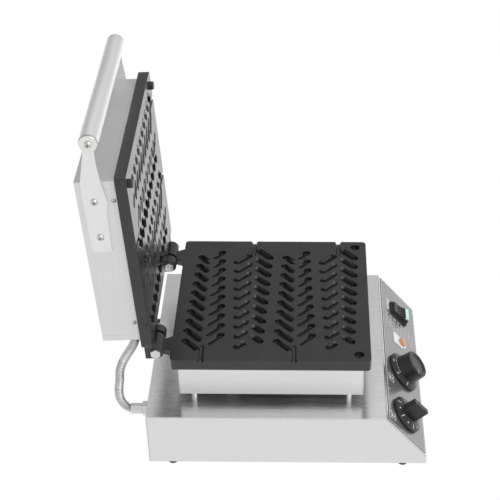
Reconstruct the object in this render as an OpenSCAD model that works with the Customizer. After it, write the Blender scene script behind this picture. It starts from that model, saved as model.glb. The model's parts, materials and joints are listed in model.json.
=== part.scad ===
// Stick waffle maker: a stainless base with a sloping control panel, a lower grill plate on a
// raised heater box, and a hinged upper grill plate under a stainless cover with a bar handle.
// Millimetres. +Z is up, -Y is the operator's side, +X is the operator's right.
// The origin is at the middle of the base, on the surface that the feet stand on.
// The lid is drawn open, as it rests against its stop.

/* [Base housing] */
// Width of the base, side to side
base_w = 332; // [300:1:370]
// Length of the base, rear wall to front lip
base_l = 400; // [385:1:440]
// Height of the housing, lower edge to deck
base_h = 87; // [80:1:110]
// Height of the front lip under the sloping panel
lip_h = 15; // [10:1:20]
// Depth of the sloping panel, seen from above
panel_run = 60; // [55:1:70]
// Thickness of the housing's stainless sheet
sheet = 1.2; // [0.8:0.1:1.5]
// Width of the flange turned in along the housing's lower edge
flange_w = 26; // [22:1:32]
// Thickness of the bottom plate
bottom_t = 1.2; // [0.8:0.1:2]

/* [Feet] */
// Height of the housing's lower edge above the counter
foot_h = 10; // [8:1:16]
// Radius of a foot at its top
foot_r = 9; // [8:0.5:12]
// Distance from the side walls to the feet
foot_inset_x = 13; // [12:1:20]
// Distance from the rear wall and front lip to the feet
foot_inset_y = 33; // [24:1:45]

/* [Grill plates] */
// Width of both grill plates
plate_w = 281; // [260:1:292]
// Length of both grill plates
plate_l = 280; // [270:1:290]
// Thickness of the lower grill plate
lower_plate_t = 17; // [15:0.5:22]
// Thickness of the upper grill plate
upper_plate_t = 15; // [14:0.5:20]
// Distance from the rear wall of the base to the plates' rear edge
plate_setback = 37; // [34:1:42]
// Corner radius of the plates
plate_corner_r = 6; // [3:0.5:10]
// Gap between the two plates when the lid is shut
plate_gap = 0.5; // [0.3:0.1:1]

/* [Mould pattern] */
// Distance between the middle lines of two neighbouring trees
tree_pitch = 64.8; // [60:0.1:67]
// Pairs of branches on a tree
branch_pairs = 10; // [6:1:10]
// Distance between two pairs of branches along a tree
branch_pitch = 22.9; // [20:0.1:23.2]
// Width of a branch pocket
branch_w = 11.2; // [9:0.1:11.4]
// Width of the deep slot along the middle of a branch pocket
slot_w = 4.8; // [3:0.1:6]
// Depth where a branch pocket's sloping sides meet its slot
shoulder_depth = 4.2; // [3.2:0.1:5.5]
// Depth of a branch pocket
branch_depth = 7; // [6:0.1:7.5]
// Angle of the branches to a tree's middle line
branch_angle = 44; // [40:1:50]
// Distance along a tree from a branch on one side to the next one on the other side
branch_stagger = 12.2; // [10:0.1:13]
// Depth of the shallow web that joins a tree's pockets
web_depth = 1; // [1:0.1:2.5]
// Distance from a tree's middle line to its outermost branch tip at the wide end
tree_half_wide = 30.5; // [26:0.5:31]
// Distance from a tree's middle line to its branch tip at the narrow end
tree_half_narrow = 21.5; // [19:0.5:24]
// Half the width of the rib left along a tree's middle line
spine_half = 0.8; // [0.5:0.1:3]
// Distance from the plate's edge to the first branch
first_branch = 23.4; // [20:0.1:28]
// Radius of the half-round channel for the stick
stick_r = 3.2; // [2.5:0.1:4]

/* [Heater boxes] */
// Height of the standoffs between the deck and the lower heater box
standoff_h = 15; // [10:1:25]
// Height of the lower heater box
box_h = 52.5; // [48:0.5:60]
// Distance from the plate's side edge to the wall of either box
box_inset_side = 8; // [6:0.5:10]
// Distance from the plate's front and rear edges to the lower box
box_inset_end = 9.5; // [7:0.5:12]
// Thickness of the boxes' stainless sheet
box_sheet = 1; // [0.8:0.1:1.5]
// Height of the lid's cover above the upper plate
cover_h = 53; // [48:0.5:60]
// Distance from the plate's rear edge to the cover
cover_inset_rear = 11; // [9:0.5:13]
// Distance from the plate's front edge to the cover
cover_inset_front = 8.5; // [7:0.5:11]

/* [Lid and hinges] */
// Angle that the lid opens to, from shut
open_angle = 93; // [85:1:100]
// Distance from the plates' rear edge to the hinge axis
hinge_reach = 20.5; // [19:0.5:22]
// Distance from the middle of the part to the outer end of a hinge
hinge_outer_x = 124; // [112:1:126]
// Width of the lid's outer hinge knuckle
outer_knuckle_w = 9; // [7:0.5:12]
// Width of the base's hinge knuckle
base_knuckle_w = 21; // [16:0.5:24]
// Width of the lid's inner hinge knuckle
inner_knuckle_w = 12; // [8:0.5:14]
// Gap between the base's hinge knuckle and the lid's inner one
inner_knuckle_gap = 6; // [0.4:0.1:8]
// Radius of a hinge knuckle
knuckle_r = 11; // [9:0.5:11.5]
// Radius of the hinge bolts
hinge_bolt_r = 4; // [3:0.5:4]

/* [Handle] */
// Radius of the handle tube
tube_r = 12.5; // [10:0.5:14]
// Wall of the handle tube
tube_wall = 1.5; // [1:0.1:2.5]
// Distance from the plates' front edge to the handle's axis
handle_reach = 49; // [44:1:56]
// Height of the handle's axis above the upper plate's lower face
handle_rise = 40.5; // [36:0.5:46]
// Thickness of the handle brackets
bracket_t = 2; // [1.5:0.1:3]

/* [Controls] */
// Thickness of the panel's overlay
overlay_t = 0.6; // [0.3:0.1:1]
// Margin between the overlay and the panel's edges
overlay_margin = 2.5; // [2:0.5:5]
// Distance from the base's left side to the timer knob's axis
timer_inset = 45; // [42:1:56]
// Place of the thermostat knob across the panel
thermostat_x = -29; // [-40:1:-20]
// Place of the indicator lamp across the panel
lamp_x = 44.5; // [38:0.5:58]
// Distance from the base's right side to the rocker switch's middle
switch_inset = 56; // [48:1:64]
// Radius of the thermostat knob's skirt
thermostat_skirt_r = 31.5; // [28:0.5:33]
// Radius of the thermostat knob's grip
thermostat_grip_r = 23; // [18:0.5:25]
// Height of the thermostat knob
thermostat_knob_h = 29; // [24:0.5:32]
// Radius of the timer knob's skirt
timer_skirt_r = 28.5; // [24:0.5:30]
// Half the length of the timer knob's bar
timer_bar_r = 15.5; // [14:0.5:19]
// Height of the timer knob
timer_knob_h = 28.4; // [22:0.5:31]
// Radius of both spindles
spindle_r = 3; // [2.5:0.5:4]
// Length of the rocker switch's bezel, up the slope
switch_l = 38; // [34:1:44]
// Width of the rocker switch's bezel
switch_w = 28; // [25:1:32]
// Angle that the rocker turns through
rocker_travel = 30; // [20:1:30]

/* [Conduit and cord entry] */
// Radius of the flexible conduit
conduit_r = 6.5; // [5:0.5:6.5]
// Distance from the base's left side to the conduit's base fitting
conduit_inset = 30; // [26:1:38]
// Height of the conduit's base fitting above the counter
conduit_z = 86; // [80:1:88]
// Distance from the base's right side to the power cord's gland
gland_inset = 71; // [46:1:96]
// Height of the power cord's gland above the counter
gland_z = 48; // [40:1:60]
// Radius of the cord that the gland takes
cord_r = 4.5; // [3.5:0.5:5.5]

/* [Hidden] */
$fn = 48;

// A cut reaches this far past the face that it opens
cut = 1;
// Radial clearance of a fastener in its hole
hole_fit = 0.25;
// Radial clearance of a screw in the thread that holds it
thread_fit = 0.05;
// Radial clearance of a pin or shaft that turns
running_fit = 0.06;
// Clearance of a part that is set into a recess
seat_fit = 0.3;

stainless = "silver";
dark_coating = "dimgray";
zinc = "lightgray";
black = [0.1, 0.1, 0.11];

// Heights and edges of the base
y_rear = base_l / 2;
y_front = -base_l / 2;
z_deck = foot_h + base_h;
z_lip = foot_h + lip_h;
panel_top_y = y_front + panel_run;
panel_drop = base_h - lip_h;
panel_angle = atan2(panel_drop, panel_run);
panel_len = norm([panel_run, panel_drop]);

// Places counted from the base's sides
timer_x = timer_inset - base_w / 2;
switch_x = base_w / 2 - switch_inset;
conduit_x = conduit_inset - base_w / 2;
gland_x = base_w / 2 - gland_inset;

// Heights and edges of the plates
z_box = z_deck + standoff_h;
z_under = z_box + box_h;
z_face = z_under + lower_plate_t;
plate_rear = y_rear - plate_setback;
plate_front = plate_rear - plate_l;
plate_mid = (plate_rear + plate_front) / 2;
z_upper = z_face + plate_gap;
z_back = z_upper + upper_plate_t;
hinge_y = plate_rear + hinge_reach;
hinge_z = z_face + plate_gap / 2;

// Lower heater box and lid cover
box_w = plate_w - 2 * box_inset_side;
box_rear = plate_rear - box_inset_end;
box_front = plate_front + box_inset_end;
cover_rear = plate_rear - cover_inset_rear;
cover_front = plate_front + cover_inset_front;
cover_side_x = plate_w / 2 - box_inset_side;

// Fasteners
m3_r = 1.5;
m4_r = 2;
m5_r = 2.5;
m6_r = 3;

// Panel middle line and the depth of its sheet with the overlay
panel_mid = panel_len / 2;

// Places a child on the sloping panel: x across, s down the slope, z out of the panel
module on_panel(x, s = panel_mid) {
    translate([x, panel_top_y - s * cos(panel_angle), z_deck - s * sin(panel_angle)])
        rotate([panel_angle, 0, 0]) children();
}

// The point that on_panel gives for the middle of the slope, at height h out of the panel
function panel_point(x, h) = [
    x,
    panel_top_y - panel_mid * cos(panel_angle) - h * sin(panel_angle),
    z_deck - panel_mid * sin(panel_angle) + h * cos(panel_angle)
];

// Places a child on the rear wall: x across, z up, with the child's Z out of the wall
module on_rear_wall(x, z) {
    translate([x, y_rear, z]) rotate([-90, 0, 0]) children();
}

// Turns what is drawn in the shut position to the open one
module lid_open() {
    translate([0, hinge_y, hinge_z]) rotate([-open_angle, 0, 0])
        translate([0, -hinge_y, -hinge_z]) children();
}

// A box given by its lowest and highest corners
module block(low, high) {
    translate(low) cube(high - low);
}

// A rectangle with round corners, centred
module round_rect(w, l, r) {
    square([w - 2 * r, l], center = true);
    square([w, l - 2 * r], center = true);
    for (x = [-1, 1], y = [-1, 1])
        translate([x * (w / 2 - r), y * (l / 2 - r)]) circle(r);
}

// A hexagon across its flats
module hexagon(flats, h) {
    cylinder(h = h, r = flats / 2 / cos(30), $fn = 6);
}

// A pan head screw: head from z = 0 up, shank down, with a cross recess
pan_top = 0.7;
recess_l = 1.1;
recess_w = 0.28;
module pan_screw(r, shank, head_r, head_h) {
    difference() {
        union() {
            translate([0, 0, -shank]) cylinder(h = shank, r = r);
            cylinder(h = head_h / 2, r = head_r);
            translate([0, 0, head_h / 2]) cylinder(h = head_h / 2, r1 = head_r, r2 = head_r * pan_top);
        }
        for (a = [0, 90])
            rotate([0, 0, a]) translate([0, 0, head_h])
                cube([head_r * recess_l, head_r * recess_w, head_h], center = true);
    }
}

// A hex nut with its lower face at z = 0
module nut(r, flats, h) {
    difference() {
        hexagon(flats, h);
        translate([0, 0, -cut]) cylinder(h = h + 2 * cut, r = r + thread_fit);
    }
}

// A hex bolt: head from z = 0 up, shank down
module hex_bolt(r, shank, flats, head_h) {
    hexagon(flats, head_h);
    translate([0, 0, -shank]) cylinder(h = shank, r = r);
}

// ---------------------------------------------------------------------------
// Base
// ---------------------------------------------------------------------------

// Side outline of the housing, moved inwards by t, as [y, z]
function housing_outline(t) = [
    [y_rear - t, foot_h - (t > 0 ? cut : 0)],
    [y_rear - t, z_deck - t],
    [panel_top_y + t * tan(panel_angle / 2), z_deck - t],
    [y_front + t, z_lip - t * tan((90 - panel_angle) / 2)],
    [y_front + t, foot_h - (t > 0 ? cut : 0)]
];

module housing_solid(t) {
    w = base_w - 2 * t;
    translate([-w / 2, 0, 0]) rotate([90, 0, 90]) linear_extrude(w) polygon(housing_outline(t));
}

// Places of the four feet
foot_x = base_w / 2 - foot_inset_x;
foot_y = base_l / 2 - foot_inset_y;
module at_feet() {
    for (x = [-foot_x, foot_x], y = [-foot_y, foot_y]) translate([x, y, 0]) children();
}

// Places of the four bolts that tie the lower plate, its box and the deck together
tie_inset_x = 13;
tie_inset_y = 20;
tie_x = box_w / 2 - tie_inset_x;
module at_ties() {
    for (x = [-tie_x, tie_x], y = [box_rear - tie_inset_y, box_front + tie_inset_y])
        translate([x, y, 0]) children();
}

sleeve_r = 8;
sleeve_x = -74;
sleeve_y = plate_mid + 60;
thermostat_hole_r = 5;
lamp_hole_r = 5;
conduit_thread_r = 7.5;
gland_thread_r = 8;
earth_x = gland_x - 35;
flange_z = foot_h + sheet;
flange_end = foot_inset_y + foot_r + 4;

module base_housing() {
    color(stainless) difference() {
        union() {
            difference() {
                housing_solid(0);
                housing_solid(sheet);
            }
            difference() {
                block([-base_w / 2 + sheet, y_front + sheet, foot_h],
                      [base_w / 2 - sheet, y_rear - sheet, flange_z]);
                block([-base_w / 2 + flange_w, y_front + flange_end, foot_h - cut],
                      [base_w / 2 - flange_w, y_rear - flange_end, flange_z + cut]);
            }
        }
        at_feet() translate([0, 0, foot_h - cut]) cylinder(h = sheet + 2 * cut, r = m4_r + hole_fit);
        at_ties() translate([0, 0, z_deck - sheet - cut])
            cylinder(h = sheet + 2 * cut, r = m6_r + hole_fit);
        translate([sleeve_x, sleeve_y, z_deck - sheet - cut])
            cylinder(h = sheet + 2 * cut, r = sleeve_r + hole_fit);
        for (x = [thermostat_x, timer_x])
            on_panel(x) translate([0, 0, -sheet - cut])
                cylinder(h = sheet + 2 * cut, r = thermostat_hole_r);
        on_panel(lamp_x, lamp_s) translate([0, 0, -sheet - cut])
            cylinder(h = sheet + 2 * cut, r = lamp_hole_r + hole_fit);
        on_panel(switch_x) translate([0, 0, -sheet / 2])
            cube([cutout_w, cutout_l, sheet + 2 * cut], center = true);
        on_rear_wall(conduit_x, conduit_z) translate([0, 0, -sheet - cut])
            cylinder(h = sheet + 2 * cut, r = conduit_thread_r + hole_fit);
        on_rear_wall(gland_x, gland_z) translate([0, 0, -sheet - cut])
            cylinder(h = sheet + 2 * cut, r = gland_thread_r + hole_fit);
        on_rear_wall(earth_x, gland_z) translate([0, 0, -sheet - cut])
            cylinder(h = sheet + 2 * cut, r = m6_r + hole_fit);
    }
}

// Ventilation slots in the bottom plate
vent_slots = 7;
vent_pitch = 16;
vent_w = 5;
vent_l = 60;
module base_bottom_plate() {
    edge = sheet + seat_fit;
    color(stainless) difference() {
        block([-base_w / 2 + edge, y_front + edge, flange_z],
              [base_w / 2 - edge, y_rear - edge, flange_z + bottom_t]);
        at_feet() translate([0, 0, flange_z - cut]) cylinder(h = bottom_t + 2 * cut, r = m4_r + hole_fit);
        for (side = [-1, 1], k = [0 : vent_slots - 1])
            translate([side * base_w / 5, (k - (vent_slots - 1) / 2) * vent_pitch, flange_z - cut])
                linear_extrude(bottom_t + 2 * cut) {
                    square([vent_l - vent_w, vent_w], center = true);
                    for (e = [-1, 1]) translate([e * (vent_l - vent_w) / 2, 0]) circle(vent_w / 2);
                }
    }
}

foot_screw_head_r = 3.8;
foot_screw_head_h = 2.6;
foot_recess = 4.5;
foot_taper = 1.5;
foot_recess_fit = 0.7;
module rubber_feet() {
    tread_r = foot_r - foot_taper;
    edge_r = 1;
    color(black) at_feet() rotate_extrude() difference() {
        union() {
            polygon([[0, 0], [tread_r - edge_r, 0], [tread_r, edge_r], [foot_r, foot_h], [0, foot_h]]);
            translate([tread_r - edge_r, edge_r]) intersection() {
                circle(edge_r);
                translate([0, -edge_r]) square(edge_r);
            }
        }
        translate([-cut, -cut]) square([m4_r + hole_fit + cut, foot_h + 2 * cut]);
        translate([-cut, -cut]) square([foot_screw_head_r + foot_recess_fit + cut, foot_recess + cut]);
    }
}

foot_nut_h = 3.2;
module feet_screws() {
    shank = foot_h - foot_recess + sheet + bottom_t + foot_nut_h + 2;
    color(zinc) at_feet() translate([0, 0, foot_recess]) mirror([0, 0, 1])
        pan_screw(m4_r, shank, foot_screw_head_r, foot_screw_head_h);
}

module feet_nuts() {
    color(zinc) at_feet() translate([0, 0, flange_z + bottom_t]) nut(m4_r, 7, foot_nut_h);
}

// ---------------------------------------------------------------------------
// Lower plate, its box and heater
// ---------------------------------------------------------------------------

module lower_heater_box() {
    color(stainless) difference() {
        block([-box_w / 2, box_front, z_box], [box_w / 2, box_rear, z_under]);
        block([-box_w / 2 + box_sheet, box_front + box_sheet, z_box + box_sheet],
              [box_w / 2 - box_sheet, box_rear - box_sheet, z_under + cut]);
        at_ties() translate([0, 0, z_box - cut]) cylinder(h = box_sheet + 2 * cut, r = m6_r + hole_fit);
        translate([sleeve_x, sleeve_y, z_box - cut])
            cylinder(h = box_sheet + 2 * cut, r = sleeve_r + hole_fit);
    }
}

standoff_r = 4.5;
module box_standoffs() {
    color(stainless) at_ties() translate([0, 0, z_deck]) difference() {
        cylinder(h = standoff_h, r = standoff_r);
        translate([0, 0, -cut]) cylinder(h = standoff_h + 2 * cut, r = m6_r + hole_fit);
    }
}

// The tie bolts run from under the deck into the lower plate
tie_washer_t = 1.6;
tie_washer_r = 6;
tie_flats = 10;
tie_bolt_head_h = 4;
tie_thread = 7;
tie_head_z = z_deck - sheet - tie_washer_t;
tie_top_z = z_under + tie_thread;
module tie_bolts() {
    color(zinc) at_ties() translate([0, 0, tie_head_z]) mirror([0, 0, 1])
        hex_bolt(m6_r, tie_top_z - tie_head_z, tie_flats, tie_bolt_head_h);
}

module tie_bolt_washers() {
    color(zinc) at_ties() translate([0, 0, tie_head_z]) difference() {
        cylinder(h = tie_washer_t, r = tie_washer_r);
        translate([0, 0, -cut]) cylinder(h = tie_washer_t + 2 * cut, r = m6_r + hole_fit);
    }
}

// One branch pocket: inner end at the origin, running along +X, cut down from z = 0.
// Its sides slope from the web to a slot along the middle, and its outer tip is upright
module branch(len) {
    r = branch_w / 2;
    slot_r = slot_w / 2;
    low = branch_depth - shoulder_depth;
    high = branch_depth - web_depth;
    top = branch_depth + cut;
    translate([0, 0, -branch_depth]) {
        cylinder(h = low, r = slot_r, $fn = 24);
        translate([0, 0, low]) cylinder(h = high - low, r1 = slot_r, r2 = r, $fn = 24);
        translate([len, 0, 0]) cylinder(h = top, r = r, $fn = 24);
        rotate([90, 0, 90]) linear_extrude(len) polygon([
            [-slot_r, 0], [slot_r, 0], [slot_r, low], [r, high],
            [r, top], [-r, top], [-r, high], [-slot_r, low]
        ]);
    }
}

// One tree: the stick enters at x = 0 and the branches follow along +X, left and right in turn
inner_off = branch_w / 2 + spine_half;
web_in = 8.5;
mouth_r = stick_r * 1.5;
mouth_l = 4;
function branch_reach(k) =
    let (half = tree_half_wide + (tree_half_narrow - tree_half_wide) * k / (branch_pairs - 1))
    (half - branch_w / 2 - inner_off) / sin(branch_angle);
function branch_x(k, side) = first_branch + k * branch_pitch + (side < 0 ? branch_stagger : 0);

// A corner of the web: on branch k's middle line, at a distance off from the tree's middle line
function web_corner(k, side, off) =
    [branch_x(k, side) + (off - inner_off) / tan(branch_angle), side * off];
module tree() {
    last = branch_pairs - 1;
    wide = tree_half_wide - web_in;
    narrow = tree_half_narrow - web_in;
    for (k = [0 : last], side = [-1, 1])
        translate([branch_x(k, side), side * inner_off, 0])
            rotate([0, 0, side * branch_angle]) branch(branch_reach(k));
    translate([0, 0, -web_depth]) linear_extrude(web_depth + cut) polygon([
        web_corner(0, 1, 0), web_corner(0, 1, wide), web_corner(last, 1, narrow), web_corner(last, 1, 0),
        web_corner(last, -1, 0), web_corner(last, -1, narrow), web_corner(0, -1, wide), web_corner(0, -1, 0)
    ]);
    rotate([0, 90, 0]) {
        translate([0, 0, -cut]) cylinder(h = branch_x(0, -1) + cut, r = stick_r);
        translate([0, 0, -0.01]) cylinder(h = mouth_l, r1 = mouth_r, r2 = stick_r);
    }
}

// All four trees on a face at z = 0, sticks leaving at the left and right in turn
trees = 4;
function tree_y(i) = plate_mid + ((trees - 1) / 2 - i) * tree_pitch;
module mould() {
    for (i = [0 : trees - 1]) translate([0, tree_y(i), 0]) rotate([0, 0, i % 2 * 180])
        translate([-plate_w / 2, 0, 0]) tree();
}

// Places of the registration pins and their holes
pin_r = 6;
pin_h = 6;
pin_hole_r = 7;
pin_inset_x = 14.5;
pin_inset_y = 16.8;
pin_hole_depth = pin_h + 2;
module at_pins() {
    for (x = [-1, 1]) translate([x * (plate_w / 2 - pin_inset_x), plate_front + pin_inset_y, 0]) children();
}

// Hinge knuckles, counted from the outer end: 0 and 2 are the lid's, 1 is the base's
knuckle_gap = 0.4;
knuckle_w = [outer_knuckle_w, base_knuckle_w, inner_knuckle_w];
knuckle_in = [
    0, outer_knuckle_w + knuckle_gap, outer_knuckle_w + knuckle_gap + base_knuckle_w + inner_knuckle_gap
];
hinge_len = knuckle_in[2] + inner_knuckle_w;
module at_knuckle(k) {
    for (side = [-1, 1])
        translate([side * (hinge_outer_x - knuckle_in[k] - knuckle_w[k] / 2), hinge_y, hinge_z]) children();
}

// A knuckle's barrel, or its bore when r is the bolt's
module barrel(k, r, more = 0) {
    at_knuckle(k) rotate([0, 90, 0]) cylinder(h = knuckle_w[k] + 2 * more, r = r, center = true);
}

// Places of the clamp screws
clamp_screw_x = 60;
module at_clamp_screws() {
    for (x = [-clamp_screw_x, clamp_screw_x], y = [-tree_pitch, tree_pitch])
        translate([x, plate_mid + y, 0]) children();
}

// The base's lugs start inside the lower plate and narrow towards their barrels
clamp_thread = 6;
lug_in_plate = 4;
lug_t = 11;
lug_flare = 4.5;
lug_clear = 0.5;
module base_lugs() {
    half = base_knuckle_w / 2;
    root = half + lug_flare;
    neck = -knuckle_r - lug_clear;
    at_knuckle(1) translate([0, 0, -plate_gap / 2 - lug_t]) linear_extrude(lug_t) polygon([
        [half, 0], [half, neck], [root, -hinge_reach], [root, -hinge_reach - lug_in_plate],
        [-root, -hinge_reach - lug_in_plate], [-root, -hinge_reach], [-half, neck], [-half, 0]
    ]);
}

module lower_grill_plate() {
    color(dark_coating) difference() {
        union() {
            translate([0, plate_mid, z_under]) linear_extrude(lower_plate_t)
                round_rect(plate_w, plate_l, plate_corner_r);
            barrel(1, knuckle_r);
            base_lugs();
        }
        translate([0, 0, z_face]) mould();
        at_pins() translate([0, 0, z_face - pin_hole_depth])
            cylinder(h = pin_hole_depth + cut, r = pin_hole_r);
        barrel(1, hinge_bolt_r + running_fit, cut);
        at_ties() translate([0, 0, z_under - cut]) cylinder(h = tie_thread + 1 + cut, r = m6_r + thread_fit);
        at_clamp_screws() translate([0, 0, z_under - cut])
            cylinder(h = clamp_thread + 1 + cut, r = m5_r + thread_fit);
    }
}

// A tubular element under a face at z = 0: four runs, three bends and two turned-down ends
heater_r = 4;
heater_run = 176;
heater_end_r = 9;
heater_tail = 10;
heater_pin_r = 1.6;
heater_pin_h = 9;
heater_seat = 0.1;
module heating_element() {
    bend_r = tree_pitch / 2;
    translate([0, 0, -heater_r - heater_seat]) {
        for (i = [0 : trees - 1])
            translate([-heater_run / 2, tree_y(i), 0]) rotate([0, 90, 0])
                cylinder(h = heater_run, r = heater_r);
        for (i = [0 : trees - 2])
            translate([(i % 2 == 0 ? 1 : -1) * heater_run / 2, tree_y(i) - bend_r, 0])
                rotate([0, 0, i % 2 == 0 ? -90 : 90])
                    rotate_extrude(angle = 180) translate([bend_r, 0]) circle(heater_r, $fn = 24);
        for (i = [0, trees - 1]) translate([-heater_run / 2, tree_y(i), 0]) {
            translate([0, 0, -heater_end_r]) rotate([90, 0, 0]) rotate([0, 0, 90])
                rotate_extrude(angle = 90) translate([heater_end_r, 0]) circle(heater_r, $fn = 24);
            translate([-heater_end_r, 0, -heater_end_r - heater_tail]) {
                cylinder(h = heater_tail, r = heater_r);
                translate([0, 0, -heater_pin_h]) cylinder(h = heater_pin_h, r = heater_pin_r);
            }
        }
    }
}

module lower_heating_element() {
    color("darkgray") translate([0, 0, z_under]) heating_element();
}

// The clamp presses the element against its plate; its outer face is at z = -clamp_out
clamp_t = 2;
clamp_w = 160;
clamp_l = 228;
clamp_out = 2 * (heater_r + heater_seat) + clamp_t;
module heater_clamp() {
    difference() {
        translate([0, plate_mid, -clamp_out]) linear_extrude(clamp_t) round_rect(clamp_w, clamp_l, 5);
        at_clamp_screws() translate([0, 0, -clamp_out - cut])
            cylinder(h = clamp_t + 2 * cut, r = m5_r + hole_fit);
    }
}

module lower_heater_clamp() {
    color(zinc) translate([0, 0, z_under]) heater_clamp();
}

clamp_head_h = 3.5;
module clamp_screws() {
    at_clamp_screws() translate([0, 0, -clamp_out]) mirror([0, 0, 1])
        pan_screw(m5_r, clamp_out + clamp_thread, m5_head_r, clamp_head_h);
}

module lower_clamp_screws() {
    color(zinc) translate([0, 0, z_under]) clamp_screws();
}

// The pad lies on the box's floor and leaves the element's ends free
pad_w = 185;
pad_clear = 2;
module lower_insulation() {
    floor_z = z_box + box_sheet;
    top_z = z_under - clamp_out - clamp_head_h - pad_clear;
    color("ivory") difference() {
        block([box_w / 2 - box_sheet - seat_fit - pad_w, box_front + box_sheet + seat_fit, floor_z],
              [box_w / 2 - box_sheet - seat_fit, box_rear - box_sheet - seat_fit, top_z]);
        at_ties() translate([0, 0, floor_z - cut]) cylinder(h = box_h, r = m6_r + 1);
    }
}

// The sleeve takes the heater's leads from the deck into the box
sleeve_flange_r = 11;
sleeve_flange_t = 2;
module wire_sleeve() {
    low = z_deck - sheet - 4;
    high = z_box + box_sheet + sleeve_flange_t;
    color("white") difference() {
        union() {
            translate([sleeve_x, sleeve_y, low]) cylinder(h = high - low, r = sleeve_r);
            translate([sleeve_x, sleeve_y, z_box + box_sheet])
                cylinder(h = sleeve_flange_t, r = sleeve_r + 2.5);
            translate([sleeve_x, sleeve_y, z_deck]) cylinder(h = sleeve_flange_t, r = sleeve_flange_r);
        }
        translate([sleeve_x, sleeve_y, low - cut]) cylinder(h = high - low + 2 * cut, r = sleeve_r - 1.5);
    }
}

// ---------------------------------------------------------------------------
// Hinge bolts, each from the outer end inwards, with a nut at the inner end
// ---------------------------------------------------------------------------

hinge_head_h = 5;
hinge_nut_h = 6;
hinge_flats = 13;
thread_end = 2;
module at_hinge_ends(x) {
    for (side = [-1, 1]) translate([side * x, hinge_y, hinge_z]) rotate([0, side * 90, 0]) children();
}

module hinge_bolts() {
    shank = hinge_len + hinge_nut_h + thread_end;
    color(zinc) at_hinge_ends(hinge_outer_x) hex_bolt(hinge_bolt_r, shank, hinge_flats, hinge_head_h);
}

module hinge_nuts() {
    color(zinc) at_hinge_ends(hinge_outer_x - hinge_len) mirror([0, 0, 1])
        nut(hinge_bolt_r, hinge_flats, hinge_nut_h);
}

// ---------------------------------------------------------------------------
// Control panel
// ---------------------------------------------------------------------------

overlay_fold = 3;
overlay_w = base_w - 2 * overlay_margin;
overlay_l = panel_len - 2 * overlay_margin - overlay_fold;
overlay_s = panel_mid + overlay_fold / 2;
lamp_drop = 5;
lamp_s = panel_mid + lamp_drop;
bezel_lap = 0.8;
cutout_w = switch_w - 2 * bezel_lap;
cutout_l = switch_l - 2 * bezel_lap;

module control_panel_overlay() {
    color("gray") difference() {
        on_panel(0, overlay_s) linear_extrude(overlay_t) round_rect(overlay_w, overlay_l, 2);
        for (x = [thermostat_x, timer_x])
            on_panel(x) translate([0, 0, -cut]) cylinder(h = overlay_t + 2 * cut, r = thermostat_hole_r);
        on_panel(lamp_x, lamp_s) translate([0, 0, -cut])
            cylinder(h = overlay_t + 2 * cut, r = lamp_hole_r + hole_fit);
        on_panel(switch_x) cube([cutout_w, cutout_l, 2 * cut + overlay_t], center = true);
    }
}

// A control behind the panel: a body, a threaded neck with its nut, and a bore for the spindle
neck_r = 4.7;
neck_h = 1.2;
module control_body(w, l, depth) {
    difference() {
        union() {
            translate([-w / 2, -l / 2, -sheet - depth]) cube([w, l, depth]);
            translate([0, 0, -sheet - depth / 2])
                cylinder(h = depth / 2 + sheet + overlay_t + neck_h, r = neck_r);
        }
        translate([0, 0, -sheet - spindle_in])
            cylinder(h = spindle_in + sheet + overlay_t + neck_h + cut, r = spindle_r + running_fit);
    }
}

// The spindle starts inside the control's body and ends inside the knob
spindle_in = 16;
spindle_out = 16;
spindle_end = 0.5;
module spindle() {
    translate([0, 0, spindle_end - sheet - spindle_in])
        cylinder(h = spindle_in - spindle_end + sheet + overlay_t + spindle_out, r = spindle_r);
}

tab_w = 6.3;
tab_t = 0.8;
tab_l = 8;
thermostat_body_w = 36;
thermostat_body_l = 42;
thermostat_body_d = 26;
thermostat_tab_x = 8;
module thermostat_body() {
    color("tan") on_panel(thermostat_x) {
        control_body(thermostat_body_w, thermostat_body_l, thermostat_body_d);
        for (x = [-thermostat_tab_x, thermostat_tab_x])
            translate([x - tab_w / 2, 0, -sheet - thermostat_body_d - tab_l])
                cube([tab_w, tab_t, tab_l + 1]);
    }
}

timer_body_w = 46;
timer_body_l = 46;
timer_body_d = 30;
timer_tab_x = 12;
module timer_body() {
    color("white") on_panel(timer_x) {
        control_body(timer_body_w, timer_body_l, timer_body_d);
        for (x = [-timer_tab_x, timer_tab_x]) translate([x - tab_w / 2, 0, -sheet - timer_body_d - tab_l])
            cube([tab_w, tab_t, tab_l + 1]);
    }
}

module thermostat_spindle() {
    color(zinc) on_panel(thermostat_x) spindle();
}

module timer_spindle() {
    color(zinc) on_panel(timer_x) spindle();
}

// A knob's skirt: a rim and a cone that carries the dial's marks
knob_lift = 1;
rim_h = 4;
cone_h = 4;
module knob_skirt(skirt_r, cone_r) {
    rotate_extrude() polygon([
        [0, 0], [skirt_r - 0.6, 0], [skirt_r, 0.6], [skirt_r, rim_h - 0.8], [skirt_r - 0.8, rim_h],
        [cone_r, rim_h + cone_h], [0, rim_h + cone_h]
    ]);
}

module spindle_bore() {
    neck_recess = neck_h + spindle_end;
    bore_depth = spindle_out - knob_lift + spindle_end;
    translate([0, 0, -cut]) cylinder(h = cut + neck_recess, r = neck_r + 1);
    translate([0, 0, -cut]) cylinder(h = cut + bore_depth, r = spindle_r + thread_fit);
}

// A pointer let into a knob's top, from the rim at radius r inwards
pointer_w = 1.6;
pointer_l = 8;
pointer_d = 0.6;
module pointer_cut(r, top) {
    translate([-pointer_w / 2, r - pointer_l, top - pointer_d])
        cube([pointer_w, pointer_l + cut, pointer_d + cut]);
}

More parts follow.
